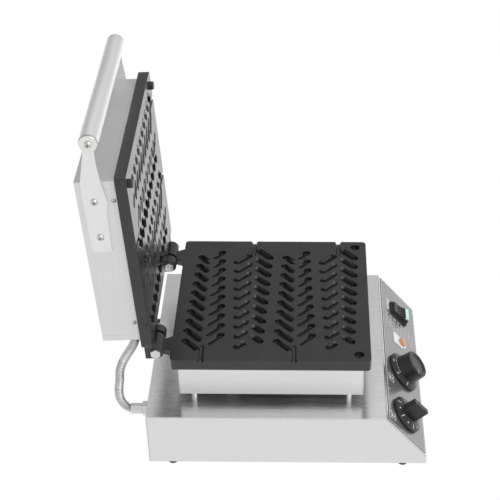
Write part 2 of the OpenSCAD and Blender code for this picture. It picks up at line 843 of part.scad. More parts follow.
// The grip's top is dished, with a pointer let into its rim
thermostat_pointer = 92;
timer_pointer = 4;
module thermostat_knob() {
    dish = 2;
    lead = 1.5;
    top_r = thermostat_grip_r - lead;
    h = thermostat_knob_h;
    color(black) on_panel(thermostat_x) translate([0, 0, overlay_t + knob_lift]) difference() {
        union() {
            knob_skirt(thermostat_skirt_r, thermostat_grip_r + 1);
            rotate_extrude() polygon([
                [0, rim_h], [thermostat_grip_r, rim_h], [thermostat_grip_r, rim_h + cone_h],
                [top_r, h - lead], [top_r - lead, h], [top_r - 4, h], [top_r - 7, h - dish], [0, h - dish]
            ]);
        }
        rotate([0, 0, thermostat_pointer]) pointer_cut(top_r, h);
        spindle_bore();
    }
}

bar_w = 9.6;
bar_taper = 2;
module timer_knob() {
    bar_r = timer_bar_r;
    h = timer_knob_h;
    color(black) on_panel(timer_x) translate([0, 0, overlay_t + knob_lift]) difference() {
        union() {
            knob_skirt(timer_skirt_r, bar_r + 1);
            intersection() {
                cylinder(h = h, r = bar_r);
                rotate([0, 0, timer_pointer]) translate([0, bar_r, 0]) rotate([90, 0, 0])
                    linear_extrude(2 * bar_r) polygon([
                        [-bar_w / 2 - bar_taper, rim_h], [bar_w / 2 + bar_taper, rim_h],
                        [bar_w / 2, h - 1], [bar_w / 2 - 1, h], [1 - bar_w / 2, h], [-bar_w / 2, h - 1]
                    ]);
            }
        }
        rotate([0, 0, timer_pointer]) pointer_cut(bar_r, h);
        spindle_bore();
    }
}

// Rocker switch: the bezel is proud of the overlay and the rocker turns on an axis across it
bezel_t = 4;
switch_depth = 26;
well_lap = 1.8;
well_w = switch_w - 2 * well_lap;
well_l = switch_l - 2 * well_lap;
rocker_end_gap = 0.5;
rocker_r = well_l / 2 - rocker_end_gap;
rocker_side_gap = 0.4;
rocker_w = well_w - 2 * rocker_side_gap;
pivot_h = overlay_t + 2;
pivot_r = 1.5;
pivot_end = 1.4;
well_floor = -10;
switch_tab_y = 8;
module switch_housing() {
    color(black) on_panel(switch_x) difference() {
        union() {
            translate([0, 0, overlay_t]) linear_extrude(bezel_t) round_rect(switch_w, switch_l, 2);
            block([seat_fit - cutout_w / 2, seat_fit - cutout_l / 2, -sheet - switch_depth],
                  [cutout_w / 2 - seat_fit, cutout_l / 2 - seat_fit, overlay_t + 1]);
            for (y = [-switch_tab_y, 0, switch_tab_y])
                translate([-tab_w / 2, y - tab_t / 2, -sheet - switch_depth - tab_l])
                    cube([tab_w, tab_t, tab_l + 1]);
        }
        translate([-well_w / 2, -well_l / 2, well_floor]) cube([well_w, well_l, 40]);
        translate([0, 0, pivot_h]) rotate([0, 90, 0])
            cylinder(h = well_w + 2 * pivot_end + 1, r = pivot_r + running_fit, center = true);
    }
}

// Side outline of the rocker about its pivot, before it is turned to its rest
rocker_rise = 9.4;
rocker_dip = 6.5;
rocker_low = [5, -6];
lens_l = 8;
lens_t = 4.2;
lens_fit = 0.05;
module rocker_side() {
    intersection() {
        circle(rocker_r);
        polygon([
            [-rocker_r, rocker_rise], [0, rocker_dip], [rocker_r, rocker_rise], [rocker_r, -1],
            rocker_low, [-rocker_low[0], rocker_low[1]], [-rocker_r, -1]
        ]);
    }
}

module rocker_place() {
    on_panel(switch_x) translate([0, 0, pivot_h]) rotate([-rocker_travel / 2, 0, 0]) children();
}

// The lens fills a step at the rocker's lower end
module lens_side(grow) {
    intersection() {
        circle(rocker_r);
        translate([-rocker_r - 1, rocker_rise - lens_t - grow])
            square([lens_l + 1 + grow, 2 * lens_t]);
    }
}

// Finger grooves across the rocker, as distances up from its middle
rocker_grooves = [-5.5, -1.5, 2.5, 6.5];
groove_w = 2;
groove_d = 1;
module switch_rocker() {
    groove_rise = (rocker_rise - rocker_dip) / rocker_r;
    color(black) rocker_place() difference() {
        union() {
            rotate([90, 0, 90]) linear_extrude(rocker_w, center = true) rocker_side();
            rotate([0, 90, 0]) cylinder(h = well_w + 2 * pivot_end, r = pivot_r, center = true);
        }
        rotate([90, 0, 90]) linear_extrude(rocker_w + 2, center = true) lens_side(lens_fit);
        for (y = rocker_grooves) translate([0, y, rocker_dip + abs(y) * groove_rise])
            cube([rocker_w + 2, groove_w, 2 * groove_d], center = true);
    }
}

module switch_lens() {
    color("palegreen") rocker_place() rotate([90, 0, 90]) linear_extrude(rocker_w, center = true)
        intersection() {
            rocker_side();
            lens_side(0);
        }
}

// Indicator: a white plate on the overlay, round at its lower end, and a round lamp through it
lamp_plate_w = 24;
lamp_plate_l = 21;
lamp_plate_off = [-2.5, 10.4];
lamp_plate_t = 0.8;
lamp_ring_r = 10.5;
lamp_r = 7.5;
lamp_rise = 4.5;
lamp_depth = 22;
module indicator_bezel() {
    color("white") on_panel(lamp_x, lamp_s) translate([0, 0, overlay_t]) linear_extrude(lamp_plate_t)
        difference() {
            union() {
                translate(lamp_plate_off) round_rect(lamp_plate_w, lamp_plate_l, 1.5);
                circle(lamp_ring_r);
            }
            circle(lamp_hole_r + hole_fit);
        }
}

module indicator_lamp() {
    face = overlay_t + lamp_plate_t;
    color("orange") on_panel(lamp_x, lamp_s) {
        translate([0, 0, face]) rotate_extrude() polygon([
            [0, 0], [lamp_r, 0], [lamp_r, lamp_rise * 0.35], [lamp_r * 0.88, lamp_rise * 0.7],
            [lamp_r * 0.6, lamp_rise * 0.93], [0, lamp_rise]
        ]);
        translate([0, 0, -sheet - lamp_depth]) cylinder(h = lamp_depth + sheet + face, r = lamp_hole_r - 0.4);
    }
}

// ---------------------------------------------------------------------------
// Electrical parts inside the base and on its rear wall
// ---------------------------------------------------------------------------

terminal_w = 56;
terminal_l = 20;
terminal_h = 20;
terminal_x = base_w / 2 - 106;
terminal_y = y_rear - 90;
terminal_ways = 5;
terminal_hole_r = 2.6;
terminal_hole_d = 9;
terminal_hole_y = 5;
terminal_screw_r = 2.5;
terminal_screw_h = 6;
module at_terminals() {
    for (k = [0 : terminal_ways - 1])
        translate([terminal_x + (k - (terminal_ways - 1) / 2) * terminal_w / terminal_ways, terminal_y, 0])
            children();
}

terminal_base_z = flange_z + bottom_t;
module at_terminal_holes() {
    at_terminals() for (y = [-terminal_hole_y, terminal_hole_y])
        translate([0, y, terminal_base_z + terminal_h - terminal_hole_d]) children();
}

module terminal_block() {
    color("white") difference() {
        block([terminal_x - terminal_w / 2, terminal_y - terminal_l / 2, terminal_base_z],
              [terminal_x + terminal_w / 2, terminal_y + terminal_l / 2, terminal_base_z + terminal_h]);
        at_terminal_holes() cylinder(h = terminal_hole_d + cut, r = terminal_hole_r);
    }
}

module terminal_screws() {
    color("gold") at_terminal_holes() cylinder(h = terminal_screw_h, r = terminal_screw_r);
}

// Gland: hex body against the wall, a dome nut and a bore for the cord
gland_flats = 22;
gland_body_h = 7;
gland_neck_h = 8.4;
gland_dome_h = 5.6;
gland_inner_h = 12;
gland_lip = 2.5;
gland_clear = 0.2;
module power_cord_gland() {
    dome_r = gland_flats / 2 - 0.5;
    out = gland_body_h + gland_neck_h;
    color(black) on_rear_wall(gland_x, gland_z) difference() {
        union() {
            translate([0, 0, -gland_inner_h]) cylinder(h = gland_inner_h, r = gland_thread_r);
            hexagon(gland_flats, gland_body_h);
            translate([0, 0, gland_body_h]) cylinder(h = gland_neck_h, r = dome_r);
            translate([0, 0, out]) cylinder(h = gland_dome_h, r1 = dome_r, r2 = cord_r + gland_lip);
        }
        translate([0, 0, -gland_inner_h - cut])
            cylinder(h = gland_inner_h + out + gland_dome_h + 2 * cut, r = cord_r + gland_clear);
    }
}

gland_nut_h = 5;
module gland_locknut() {
    color(black) on_rear_wall(gland_x, gland_z) translate([0, 0, -sheet]) mirror([0, 0, 1])
        nut(gland_thread_r, gland_flats, gland_nut_h);
}

stud_in = 10;
stud_out = 14;
stud_flats = 10;
stud_nut_h = 5;
module earth_stud() {
    color("gold") on_rear_wall(earth_x, gland_z) {
        translate([0, 0, -sheet - stud_in]) cylinder(h = sheet + stud_in + stud_out, r = m6_r);
        cylinder(h = tie_washer_t, r = tie_washer_r);
        translate([0, 0, tie_washer_t]) hexagon(stud_flats, stud_nut_h);
        translate([0, 0, -sheet - stud_nut_h]) hexagon(stud_flats, stud_nut_h);
    }
}

// ---------------------------------------------------------------------------
// Swept tubes: the conduit, the thermostat's capillary and the wiring
// ---------------------------------------------------------------------------

// A point of a Catmull-Rom curve through the route's points, at u counted in points
function at_end(pts, i) = pts[max(0, min(len(pts) - 1, i))];
function curve_point(pts, u) =
    let (i = min(floor(u), len(pts) - 2), t = u - i,
         a = at_end(pts, i - 1), b = pts[i], c = pts[i + 1], d = at_end(pts, i + 2))
    0.5 * (2 * b + (c - a) * t + (2 * a - 5 * b + 4 * c - d) * t * t + (3 * b - a - 3 * c + d) * t * t * t);
function unit(v) = v / norm(v);
function curve(pts, steps) = [for (j = [0 : steps]) curve_point(pts, j * (len(pts) - 1) / steps)];

// A tube of n sides along a route that never runs along the given side direction
module swept(pts, r, steps, n = 12, side_dir = [1, 0, 0]) {
    c = curve(pts, steps);
    rings = [for (j = [0 : steps])
        let (d = unit(c[min(j + 1, steps)] - c[max(j - 1, 0)]),
             s = unit(cross(d, cross(side_dir, d))), t = cross(d, s))
        [for (k = [0 : n - 1]) c[j] + r * (cos(360 * k / n) * s + sin(360 * k / n) * t)]];
    walls = [for (j = [0 : steps - 1], k = [0 : n - 1])
        [j * n + k, (j + 1) * n + k, (j + 1) * n + (k + 1) % n, j * n + (k + 1) % n]];
    polyhedron(
        points = [for (ring = rings) each ring],
        faces = concat([[for (k = [0 : n - 1]) k]], walls, [[for (k = [n - 1 : -1 : 0]) steps * n + k]])
    );
}

// Base fitting of the conduit: nut against the wall, then a smooth ferrule
thread_in = 8;
conduit_nut_h = 7.5;
ferrule_l = 16;
ferrule_r = conduit_r + 1.5;
conduit_flats = 19;
module conduit_base_fitting() {
    color(zinc) on_rear_wall(conduit_x, conduit_z) difference() {
        union() {
            translate([0, 0, -thread_in]) cylinder(h = thread_in, r = conduit_thread_r);
            hexagon(conduit_flats, conduit_nut_h);
            translate([0, 0, conduit_nut_h]) cylinder(h = ferrule_l, r = ferrule_r);
        }
        translate([0, 0, -thread_in - cut])
            cylinder(h = thread_in + conduit_nut_h + ferrule_l + 2 * cut, r = conduit_r - 1.5);
        translate([0, 0, conduit_nut_h + ferrule_l - conduit_grip])
            cylinder(h = conduit_grip + cut, r = conduit_r + thread_fit);
    }
}
conduit_grip = 6;

module conduit_locknut() {
    color(zinc) on_rear_wall(conduit_x, conduit_z) translate([0, 0, -sheet]) mirror([0, 0, 1])
        nut(conduit_thread_r, conduit_flats, 4);
}

// Where the conduit enters the cover's rear wall, in the shut position
lid_entry_x = 12.5 - cover_side_x;
lid_entry_t = 24.6;
lid_entry_z = z_upper + lid_entry_t;
grommet_t = 1.5;
grommet_in = 3;
grommet_fit = 0.5;
grommet_r = conduit_r + grommet_fit + 1;
grommet_flange_r = grommet_r + 1;
module at_lid_entry() {
    translate([lid_entry_x, cover_rear, lid_entry_z]) rotate([-90, 0, 0]) children();
}

module conduit_lid_grommet() {
    color(zinc) lid_open() at_lid_entry() difference() {
        union() {
            cylinder(h = grommet_t, r = grommet_flange_r);
            translate([0, 0, -box_sheet - grommet_in]) cylinder(h = box_sheet + grommet_in, r = grommet_r);
        }
        translate([0, 0, -box_sheet - grommet_in - cut])
            cylinder(h = box_sheet + grommet_in + grommet_t + 2 * cut, r = conduit_r + grommet_fit);
    }
}

// Both ends of the conduit: in the ferrule's mouth, and through the grommet in the open position
function opened(p) =
    let (y = p[1] - hinge_y, z = p[2] - hinge_z, c = cos(open_angle), s = sin(open_angle))
    [p[0], hinge_y + y * c + z * s, hinge_z - y * s + z * c];
entry_in = opened([lid_entry_x, cover_rear - box_sheet - 2, lid_entry_z]);
entry_out = opened([lid_entry_x, cover_rear + 3, lid_entry_z]);
exit_at = [conduit_x, y_rear, conduit_z];
CONDUIT_ROUTE = [
    exit_at + [0, 18, 0],
    exit_at + [0, 24, 0],
    exit_at + [0.5, 31, 4],
    exit_at + [1, 36.5, 12.5],
    exit_at + [1.5, 39, 22],
    exit_at + [2, 39, 34],
    entry_out + [-11, 27, -72],
    entry_out + [-8, 26, -58],
    entry_out + [-5, 20.5, -43],
    entry_out + [-3, 12.5, -29],
    entry_out + [-1, 4, -14],
    entry_out,
    entry_in
];
module conduit() {
    color("silver") swept(CONDUIT_ROUTE, conduit_r, 44);
}

// The bulb lies against the lower plate between two runs, and its capillary goes down the sleeve
bulb_r = 3;
bulb_l = 90;
bulb_gap = 0.1;
capillary_r = 1;
bulb_z = z_under - bulb_r - heater_seat;
tail_gap = 0.6;
module thermostat_probe() {
    bulb_end = [-bulb_l / 2 - bulb_gap, plate_mid, bulb_z];
    sleeve_mid = [sleeve_x, sleeve_y, z_deck];
    body_back = panel_point(thermostat_x + 14, -sheet - thermostat_body_d - tail_gap);
    route = [
        bulb_end,
        bulb_end + [-25, 0, 0],
        bulb_end + [-47, 8, -12],
        bulb_end + [-45, 35, -30],
        sleeve_mid + [-4, -2, standoff_h + 10],
        sleeve_mid,
        sleeve_mid + [2, -5, -20],
        sleeve_mid + [10, -40, -42],
        sleeve_mid + [24, -113, -57],
        sleeve_mid + [44, -173, -61],
        body_back + [0, 14, -10],
        body_back
    ];
    color(zinc) {
        translate([-bulb_l / 2, plate_mid, bulb_z]) rotate([0, 90, 0]) cylinder(h = bulb_l, r = bulb_r);
        swept(route, capillary_r, 48, 8, [1, 1, 1]);
    }
}

// A sleeved bundle on the bottom plate, from the terminal block to the controls
loom_r = 3;
loom_z = terminal_base_z + loom_r + 0.4;
module wiring_loom() {
    start = [terminal_x - 12, terminal_y - terminal_l / 2 - tail_gap, loom_z];
    panel_foot = [thermostat_x, panel_top_y, loom_z];
    route = [
        start + [0, 0, 5],
        start + [0, -22, 0],
        start + [-8, -80, 0],
        panel_foot + [39, 80, 0],
        panel_foot + [9, 30, 0],
        panel_foot + [-47, 12, 4]
    ];
    color("red") swept(route, loom_r, 30, 8, [0, 0, 1]);
}

// ---------------------------------------------------------------------------
// Lid
// ---------------------------------------------------------------------------

// Bosses on the upper plate's back that the cover's side screws go into
cover_screw_up = 6;
cover_screw_rear = 41.2;
cover_screw_front = 38.3;
boss_w = 9;
boss_l = 14;
boss_h = 12;
cover_screw_thread = 6;
boss_x = cover_side_x - box_sheet - 0.1;
module at_cover_screws() {
    for (side = [-1, 1], y = [plate_rear - cover_screw_rear, plate_front + cover_screw_front])
        translate([side * cover_side_x, y, z_back + cover_screw_up]) rotate([0, side * 90, 0]) children();
}

module upper_grill_plate() {
    lug_h = plate_gap / 2 + upper_plate_t;
    color(dark_coating) lid_open() difference() {
        union() {
            translate([0, plate_mid, z_upper]) linear_extrude(upper_plate_t)
                round_rect(plate_w, plate_l, plate_corner_r);
            for (k = [0, 2]) {
                barrel(k, knuckle_r);
                at_knuckle(k) translate([-knuckle_w[k] / 2, -hinge_reach - lug_in_plate, 0])
                    cube([knuckle_w[k], knuckle_r + hinge_reach + lug_in_plate, lug_h]);
            }
            for (side = [-1, 1], y = [plate_rear - cover_screw_rear, plate_front + cover_screw_front])
                translate([side * (boss_x - boss_w / 2), y, z_back])
                    cube([boss_w, boss_l, 2 * boss_h], center = true);
        }
        translate([0, 0, z_upper]) mirror([0, 0, 1]) mould();
        at_pins() translate([0, 0, z_upper - cut]) cylinder(h = pin_seat + cut, r = pin_r + thread_fit);
        for (k = [0, 2]) barrel(k, hinge_bolt_r + running_fit, cut);
        translate([0, 0, z_back]) mirror([0, 0, 1]) at_clamp_screws() translate([0, 0, -cut])
            cylinder(h = clamp_thread + 1 + cut, r = m5_r + thread_fit);
        at_cover_screws() translate([0, 0, -box_sheet - cover_screw_thread - 1])
            cylinder(h = cover_screw_thread + 1 + box_sheet, r = m3_r + thread_fit);
    }
}
pin_seat = 6;

module registration_pins() {
    lead = 1.2;
    color(black) lid_open() at_pins() translate([0, 0, z_upper - pin_h]) {
        cylinder(h = lead, r1 = pin_r - lead, r2 = pin_r);
        translate([0, 0, lead]) cylinder(h = pin_h + pin_seat - 0.1 - lead, r = pin_r);
    }
}

module on_lid_back() {
    lid_open() translate([0, 0, z_back]) mirror([0, 0, 1]) children();
}

module upper_heating_element() {
    color("darkgray") on_lid_back() heating_element();
}

module upper_heater_clamp() {
    color(zinc) on_lid_back() heater_clamp();
}

module upper_clamp_screws() {
    color(zinc) on_lid_back() clamp_screws();
}

// The pad fills the cover above the clamp, between the bracket nuts and the element's ends
module upper_insulation() {
    low_z = z_back + clamp_out + clamp_head_h + pad_clear;
    pad_x = cover_side_x - box_sheet - bracket_nut_h - pad_clear;
    color("ivory") lid_open()
        block([pad_x - pad_w, cover_front + box_sheet + seat_fit, low_z],
              [pad_x, cover_rear - box_sheet - seat_fit, z_back + cover_h - box_sheet]);
}

// Places of the bracket screws, counted from the plates' front edge
bracket_screw_y = [37.8, 93];
bracket_screw_t = 45.7;
module at_bracket_screws(side) {
    for (y = bracket_screw_y)
        translate([side * cover_side_x, plate_front + y, z_upper + bracket_screw_t])
            rotate([0, side * 90, 0]) children();
}

module lid_cover() {
    color(stainless) lid_open() difference() {
        block([-cover_side_x, cover_front, z_back], [cover_side_x, cover_rear, z_back + cover_h]);
        block([-cover_side_x + box_sheet, cover_front + box_sheet, z_back - cut],
              [cover_side_x - box_sheet, cover_rear - box_sheet, z_back + cover_h - box_sheet]);
        at_cover_screws() translate([0, 0, -box_sheet - cut])
            cylinder(h = box_sheet + 2 * cut, r = m3_r + hole_fit);
        for (side = [-1, 1]) at_bracket_screws(side) translate([0, 0, -box_sheet - cut])
            cylinder(h = box_sheet + 2 * cut, r = m5_r + hole_fit);
        at_lid_entry() translate([0, 0, -box_sheet - cut])
            cylinder(h = box_sheet + 2 * cut, r = grommet_r + hole_fit);
    }
}

module lid_cover_screws() {
    color(zinc) lid_open() at_cover_screws() pan_screw(m3_r, box_sheet + cover_screw_thread, 3, 1.8);
}

// ---------------------------------------------------------------------------
// Handle
// ---------------------------------------------------------------------------

handle_y = plate_front - handle_reach;
handle_z = z_upper + handle_rise;
tube_half = cover_side_x - 0.1;
module at_handle_end(side) {
    translate([side * cover_side_x, handle_y, handle_z]) rotate([0, side * 90, 0]) children();
}

module handle_tube() {
    color(stainless) lid_open() translate([-tube_half, handle_y, handle_z]) rotate([0, 90, 0]) difference() {
        cylinder(h = 2 * tube_half, r = tube_r);
        translate([0, 0, -cut]) cylinder(h = 2 * tube_half + 2 * cut, r = tube_r - tube_wall);
    }
}

plug_l = 22;
plug_end = 4;
plug_flush = 0.1;
plug_fit = 0.02;
module handle_tube_plugs() {
    color(zinc) lid_open() for (side = [-1, 1]) at_handle_end(side) translate([0, 0, -plug_l - plug_flush])
        difference() {
            cylinder(h = plug_l, r = tube_r - tube_wall - plug_fit);
            translate([0, 0, plug_end]) cylinder(h = plug_l, r = m5_r + thread_fit);
        }
}

// Side outline of a bracket as [distance from the handle's axis to the rear, height above the
// upper plate's face]: a flat tail on the cover's wall, narrowing to a neck and a round head
neck_half = 6;
neck_end = [30, handle_rise - neck_half + 0.5];
throat = [59, 33];
belly = [87, 28.5];
belly_end = [105, 31.5];
tail_end = 165;
tail_low = 33.5;
tail_high = 60;
shoulder = 60;
shoulder_low = [42, 56];
module bracket_side() {
    polygon([
        [0, handle_rise - neck_half], neck_end, throat, belly, belly_end, [tail_end, tail_low],
        [tail_end, tail_high], [shoulder, tail_high], shoulder_low, [0, handle_rise + neck_half]
    ]);
    translate([0, handle_rise]) circle(tube_r);
}

module bracket_hole() {
    translate([0, 0, -cut]) cylinder(h = bracket_t + 2 * cut, r = m5_r + hole_fit);
}

module handle_bracket(side) {
    low = side > 0 ? cover_side_x : -cover_side_x - bracket_t;
    lid_open() difference() {
        translate([low, handle_y, z_upper]) rotate([90, 0, 90]) linear_extrude(bracket_t) bracket_side();
        at_bracket_screws(side) bracket_hole();
        at_handle_end(side) bracket_hole();
    }
}

module handle_bracket_left() {
    color(stainless) handle_bracket(-1);
}

module handle_bracket_right() {
    color(stainless) handle_bracket(1);
}

cap_t = 2;
cap_r = tube_r - 0.5;
cap_edge = 0.6;
m5_head_r = 4.8;
m5_head_h = 3;
end_screw_l = 18;
module handle_end_caps() {
    color(stainless) lid_open() for (side = [-1, 1]) at_handle_end(side) translate([0, 0, bracket_t])
        difference() {
            rotate_extrude() polygon([
                [0, 0], [cap_r, 0], [cap_r, cap_t - cap_edge], [cap_r - cap_edge, cap_t], [0, cap_t]
            ]);
            translate([0, 0, -cut]) cylinder(h = cap_t + 2 * cut, r = m5_r + hole_fit);
        }
}

module handle_end_screws() {
    color(zinc) lid_open() for (side = [-1, 1]) at_handle_end(side) translate([0, 0, bracket_t + cap_t])
        pan_screw(m5_r, end_screw_l, m5_head_r, m5_head_h);
}

bracket_nut_h = 4;
bracket_nut_flats = 8;
module bracket_screws() {
    color(zinc) lid_open() for (side = [-1, 1]) at_bracket_screws(side) translate([0, 0, bracket_t])
        pan_screw(m5_r, bracket_t + box_sheet + bracket_nut_h + 1, m5_head_r, m5_head_h);
}

module bracket_nuts() {
    color(zinc) lid_open() for (side = [-1, 1]) at_bracket_screws(side) translate([0, 0, -box_sheet])
        mirror([0, 0, 1]) nut(m5_r, bracket_nut_flats, bracket_nut_h);
}

base_housing();
base_bottom_plate();
rubber_feet();
feet_screws();
feet_nuts();
control_panel_overlay();
lower_heater_box();
box_standoffs();
tie_bolts();
tie_bolt_washers();
lower_grill_plate();
lower_heating_element();
lower_heater_clamp();
lower_clamp_screws();
lower_insulation();
wire_sleeve();
thermostat_probe();
thermostat_body();
timer_body();
switch_housing();
indicator_bezel();
indicator_lamp();
terminal_block();
terminal_screws();
wiring_loom();
power_cord_gland();
gland_locknut();
earth_stud();
hinge_bolts();
hinge_nuts();
conduit_base_fitting();
conduit_locknut();
upper_grill_plate();
registration_pins();
upper_heating_element();
upper_heater_clamp();
upper_clamp_screws();
upper_insulation();
lid_cover();
lid_cover_screws();
handle_tube();
handle_tube_plugs();
handle_bracket_left();
handle_bracket_right();
handle_end_caps();
handle_end_screws();
bracket_screws();
bracket_nuts();
conduit_lid_grommet();
conduit();
thermostat_spindle();
thermostat_knob();
timer_spindle();
timer_knob();
switch_rocker();
switch_lens();
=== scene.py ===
import json
import math
import bpy
from mathutils import Matrix, Vector


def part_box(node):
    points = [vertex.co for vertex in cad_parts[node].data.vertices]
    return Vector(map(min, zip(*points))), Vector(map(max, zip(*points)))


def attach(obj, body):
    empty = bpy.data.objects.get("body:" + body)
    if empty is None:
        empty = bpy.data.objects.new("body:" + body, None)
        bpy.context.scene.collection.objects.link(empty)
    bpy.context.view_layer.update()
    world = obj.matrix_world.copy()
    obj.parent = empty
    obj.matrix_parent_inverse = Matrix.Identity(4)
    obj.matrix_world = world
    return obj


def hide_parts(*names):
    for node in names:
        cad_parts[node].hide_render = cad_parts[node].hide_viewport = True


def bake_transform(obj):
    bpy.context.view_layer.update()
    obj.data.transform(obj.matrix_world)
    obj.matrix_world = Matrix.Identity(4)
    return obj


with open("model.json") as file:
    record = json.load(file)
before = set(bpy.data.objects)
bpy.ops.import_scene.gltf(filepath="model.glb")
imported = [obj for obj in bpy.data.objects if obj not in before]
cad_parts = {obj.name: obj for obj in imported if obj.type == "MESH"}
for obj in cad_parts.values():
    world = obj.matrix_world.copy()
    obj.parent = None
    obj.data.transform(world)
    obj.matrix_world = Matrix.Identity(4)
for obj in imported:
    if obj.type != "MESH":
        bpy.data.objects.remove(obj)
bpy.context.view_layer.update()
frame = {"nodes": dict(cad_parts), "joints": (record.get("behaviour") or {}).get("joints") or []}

MM = 0.001
scene = bpy.context.scene

# ---------------------------------------------------------------- camera
# Solved from the photograph's straight edges and corners: radians, pixels and metres.
yaw, pitch, roll = -0.0146465, 0.6350761, -0.0030095
focal_px, axis_x_px, axis_y_px = 1277.084, 296.506, 249.171
camera_at = (-1.4705, -0.03304, 1.3543)
picture_px = 500.0
sensor_mm = 36.0
forward = Vector((math.cos(pitch) * math.cos(yaw), -math.cos(pitch) * math.sin(yaw), -math.sin(pitch)))
level_right = Vector((-math.sin(yaw), -math.cos(yaw), 0.0))
level_up = level_right.cross(forward)
right = math.cos(roll) * level_right + math.sin(roll) * level_up
up = -math.sin(roll) * level_right + math.cos(roll) * level_up
camera_data = bpy.data.cameras.new("camera")
camera_data.sensor_width = sensor_mm
camera_data.lens = focal_px * sensor_mm / picture_px
camera_data.shift_x = (picture_px / 2 - axis_x_px) / picture_px
camera_data.shift_y = (axis_y_px - picture_px / 2) / picture_px
camera_data.clip_start = 0.05
camera_data.clip_end = 50.0
camera = bpy.data.objects.new("camera", camera_data)
scene.collection.objects.link(camera)
turn = Matrix((right, up, -forward)).transposed().to_4x4()
camera.matrix_world = Matrix.Translation(camera_at) @ turn
scene.camera = camera

# ---------------------------------------------------------------- main sizes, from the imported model
base_low, base_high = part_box("base_housing")
box_low, box_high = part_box("lower_heater_box")
lid_joint = next(j for j in frame["joints"] if j["name"] == "lid_hinge")
hinge = Vector(lid_joint["pos_m"])
open_angle = math.radians(lid_joint["range_deg"][1])
z_deck = base_high.z
z_lip = 0.025
y_fold = -0.140
y_front = base_low.y
panel_angle = math.atan2(z_deck - z_lip, y_fold - y_front)
panel_len = math.hypot(z_deck - z_lip, y_fold - y_front)
# Takes a point of the shut lid to where the open lid has it
to_open = Matrix.Translation(hinge) @ Matrix.Rotation(-open_angle, 4, "X") @ Matrix.Translation(-hinge)


def panel_place(x, s, h=0.0):
    """A place at x across the panel, s down its slope and h over it: Y points up the slope, Z out of it."""
    at = Vector((x, y_fold - s * math.cos(panel_angle), z_deck - s * math.sin(panel_angle)))
    place = Matrix.Translation(at) @ Matrix.Rotation(panel_angle, 4, "X")
    return place @ Matrix.Translation((0.0, 0.0, h))


# ---------------------------------------------------------------- node helpers
class Tree:
    """A material's node tree with a Principled shader, and short names for the nodes it takes."""

    def __init__(self, name):
        self.mat = bpy.data.materials.new(name)
        self.mat.use_nodes = True
        self.nt = self.mat.node_tree
        self.nt.nodes.clear()
        self.out = self.nt.nodes.new("ShaderNodeOutputMaterial")
        self.bsdf = self.nt.nodes.new("ShaderNodeBsdfPrincipled")
        self.link(self.bsdf.outputs[0], self.out.inputs["Surface"])
        self.coord = self.nt.nodes.new("ShaderNodeTexCoord").outputs["Object"]

    def link(self, a, b):
        self.nt.links.new(a, b)

    def put(self, socket, value):
        if isinstance(value, bpy.types.NodeSocket):
            self.link(value, socket)
        elif isinstance(value, (tuple, list)) and len(value) == 3 and socket.type == "RGBA":
            socket.default_value = (*value, 1.0)
        else:
            socket.default_value = value

    def set(self, **values):
        for key, value in values.items():
            self.put(self.bsdf.inputs[key.replace("_", " ")], value)

    def scaled(self, x, y, z):
        node = self.nt.nodes.new("ShaderNodeMapping")
        self.put(node.inputs["Vector"], self.coord)
        node.inputs["Scale"].default_value = (x, y, z)
        return node.outputs[0]

    def noise(self, vector, scale, detail, rough):
        node = self.nt.nodes.new("ShaderNodeTexNoise")
        self.put(node.inputs["Vector"], vector)
        node.inputs["Scale"].default_value = scale
        node.inputs["Detail"].default_value = detail
        node.inputs["Roughness"].default_value = rough
        return node.outputs[0]

    def voronoi(self, vector, scale):
        node = self.nt.nodes.new("ShaderNodeTexVoronoi")
        self.put(node.inputs["Vector"], vector)
        node.inputs["Scale"].default_value = scale
        return node.outputs["Distance"]

    def span(self, value, low, high, from_low=0.3, from_high=0.7):
        node = self.nt.nodes.new("ShaderNodeMapRange")
        self.put(node.inputs["Value"], value)
        node.inputs["From Min"].default_value = from_low
        node.inputs["From Max"].default_value = from_high
        node.inputs["To Min"].default_value = low
        node.inputs["To Max"].default_value = high
        return node.outputs[0]

    def math(self, kind, a, b):
        node = self.nt.nodes.new("ShaderNodeMath")
        node.operation = kind
        self.put(node.inputs[0], a)
        self.put(node.inputs[1], b)
        return node.outputs[0]

    def blend(self, factor, a, b):
        node = self.nt.nodes.new("ShaderNodeMix")
        node.data_type = "RGBA"
        self.put(node.inputs["Factor"], factor)
        self.put(node.inputs[6], a)
        self.put(node.inputs[7], b)
        return node.outputs[2]

    def edge(self, radius):
        node = self.nt.nodes.new("ShaderNodeBevel")
        node.samples = 6
        node.inputs["Radius"].default_value = radius
        return node.outputs[0]

    def bump(self, height, strength, distance, normal=None):
        node = self.nt.nodes.new("ShaderNodeBump")
        self.put(node.inputs["Height"], height)
        node.inputs["Strength"].default_value = strength
        node.inputs["Distance"].default_value = distance
        if normal is not None:
            self.link(normal, node.inputs["Normal"])
        return node.outputs[0]


def darker(colour, share):
    return tuple(c * share for c in colour)


# Noise scales of brushed sheet along its grain and across it
grain_along, grain_across = 5.0, 1500.0


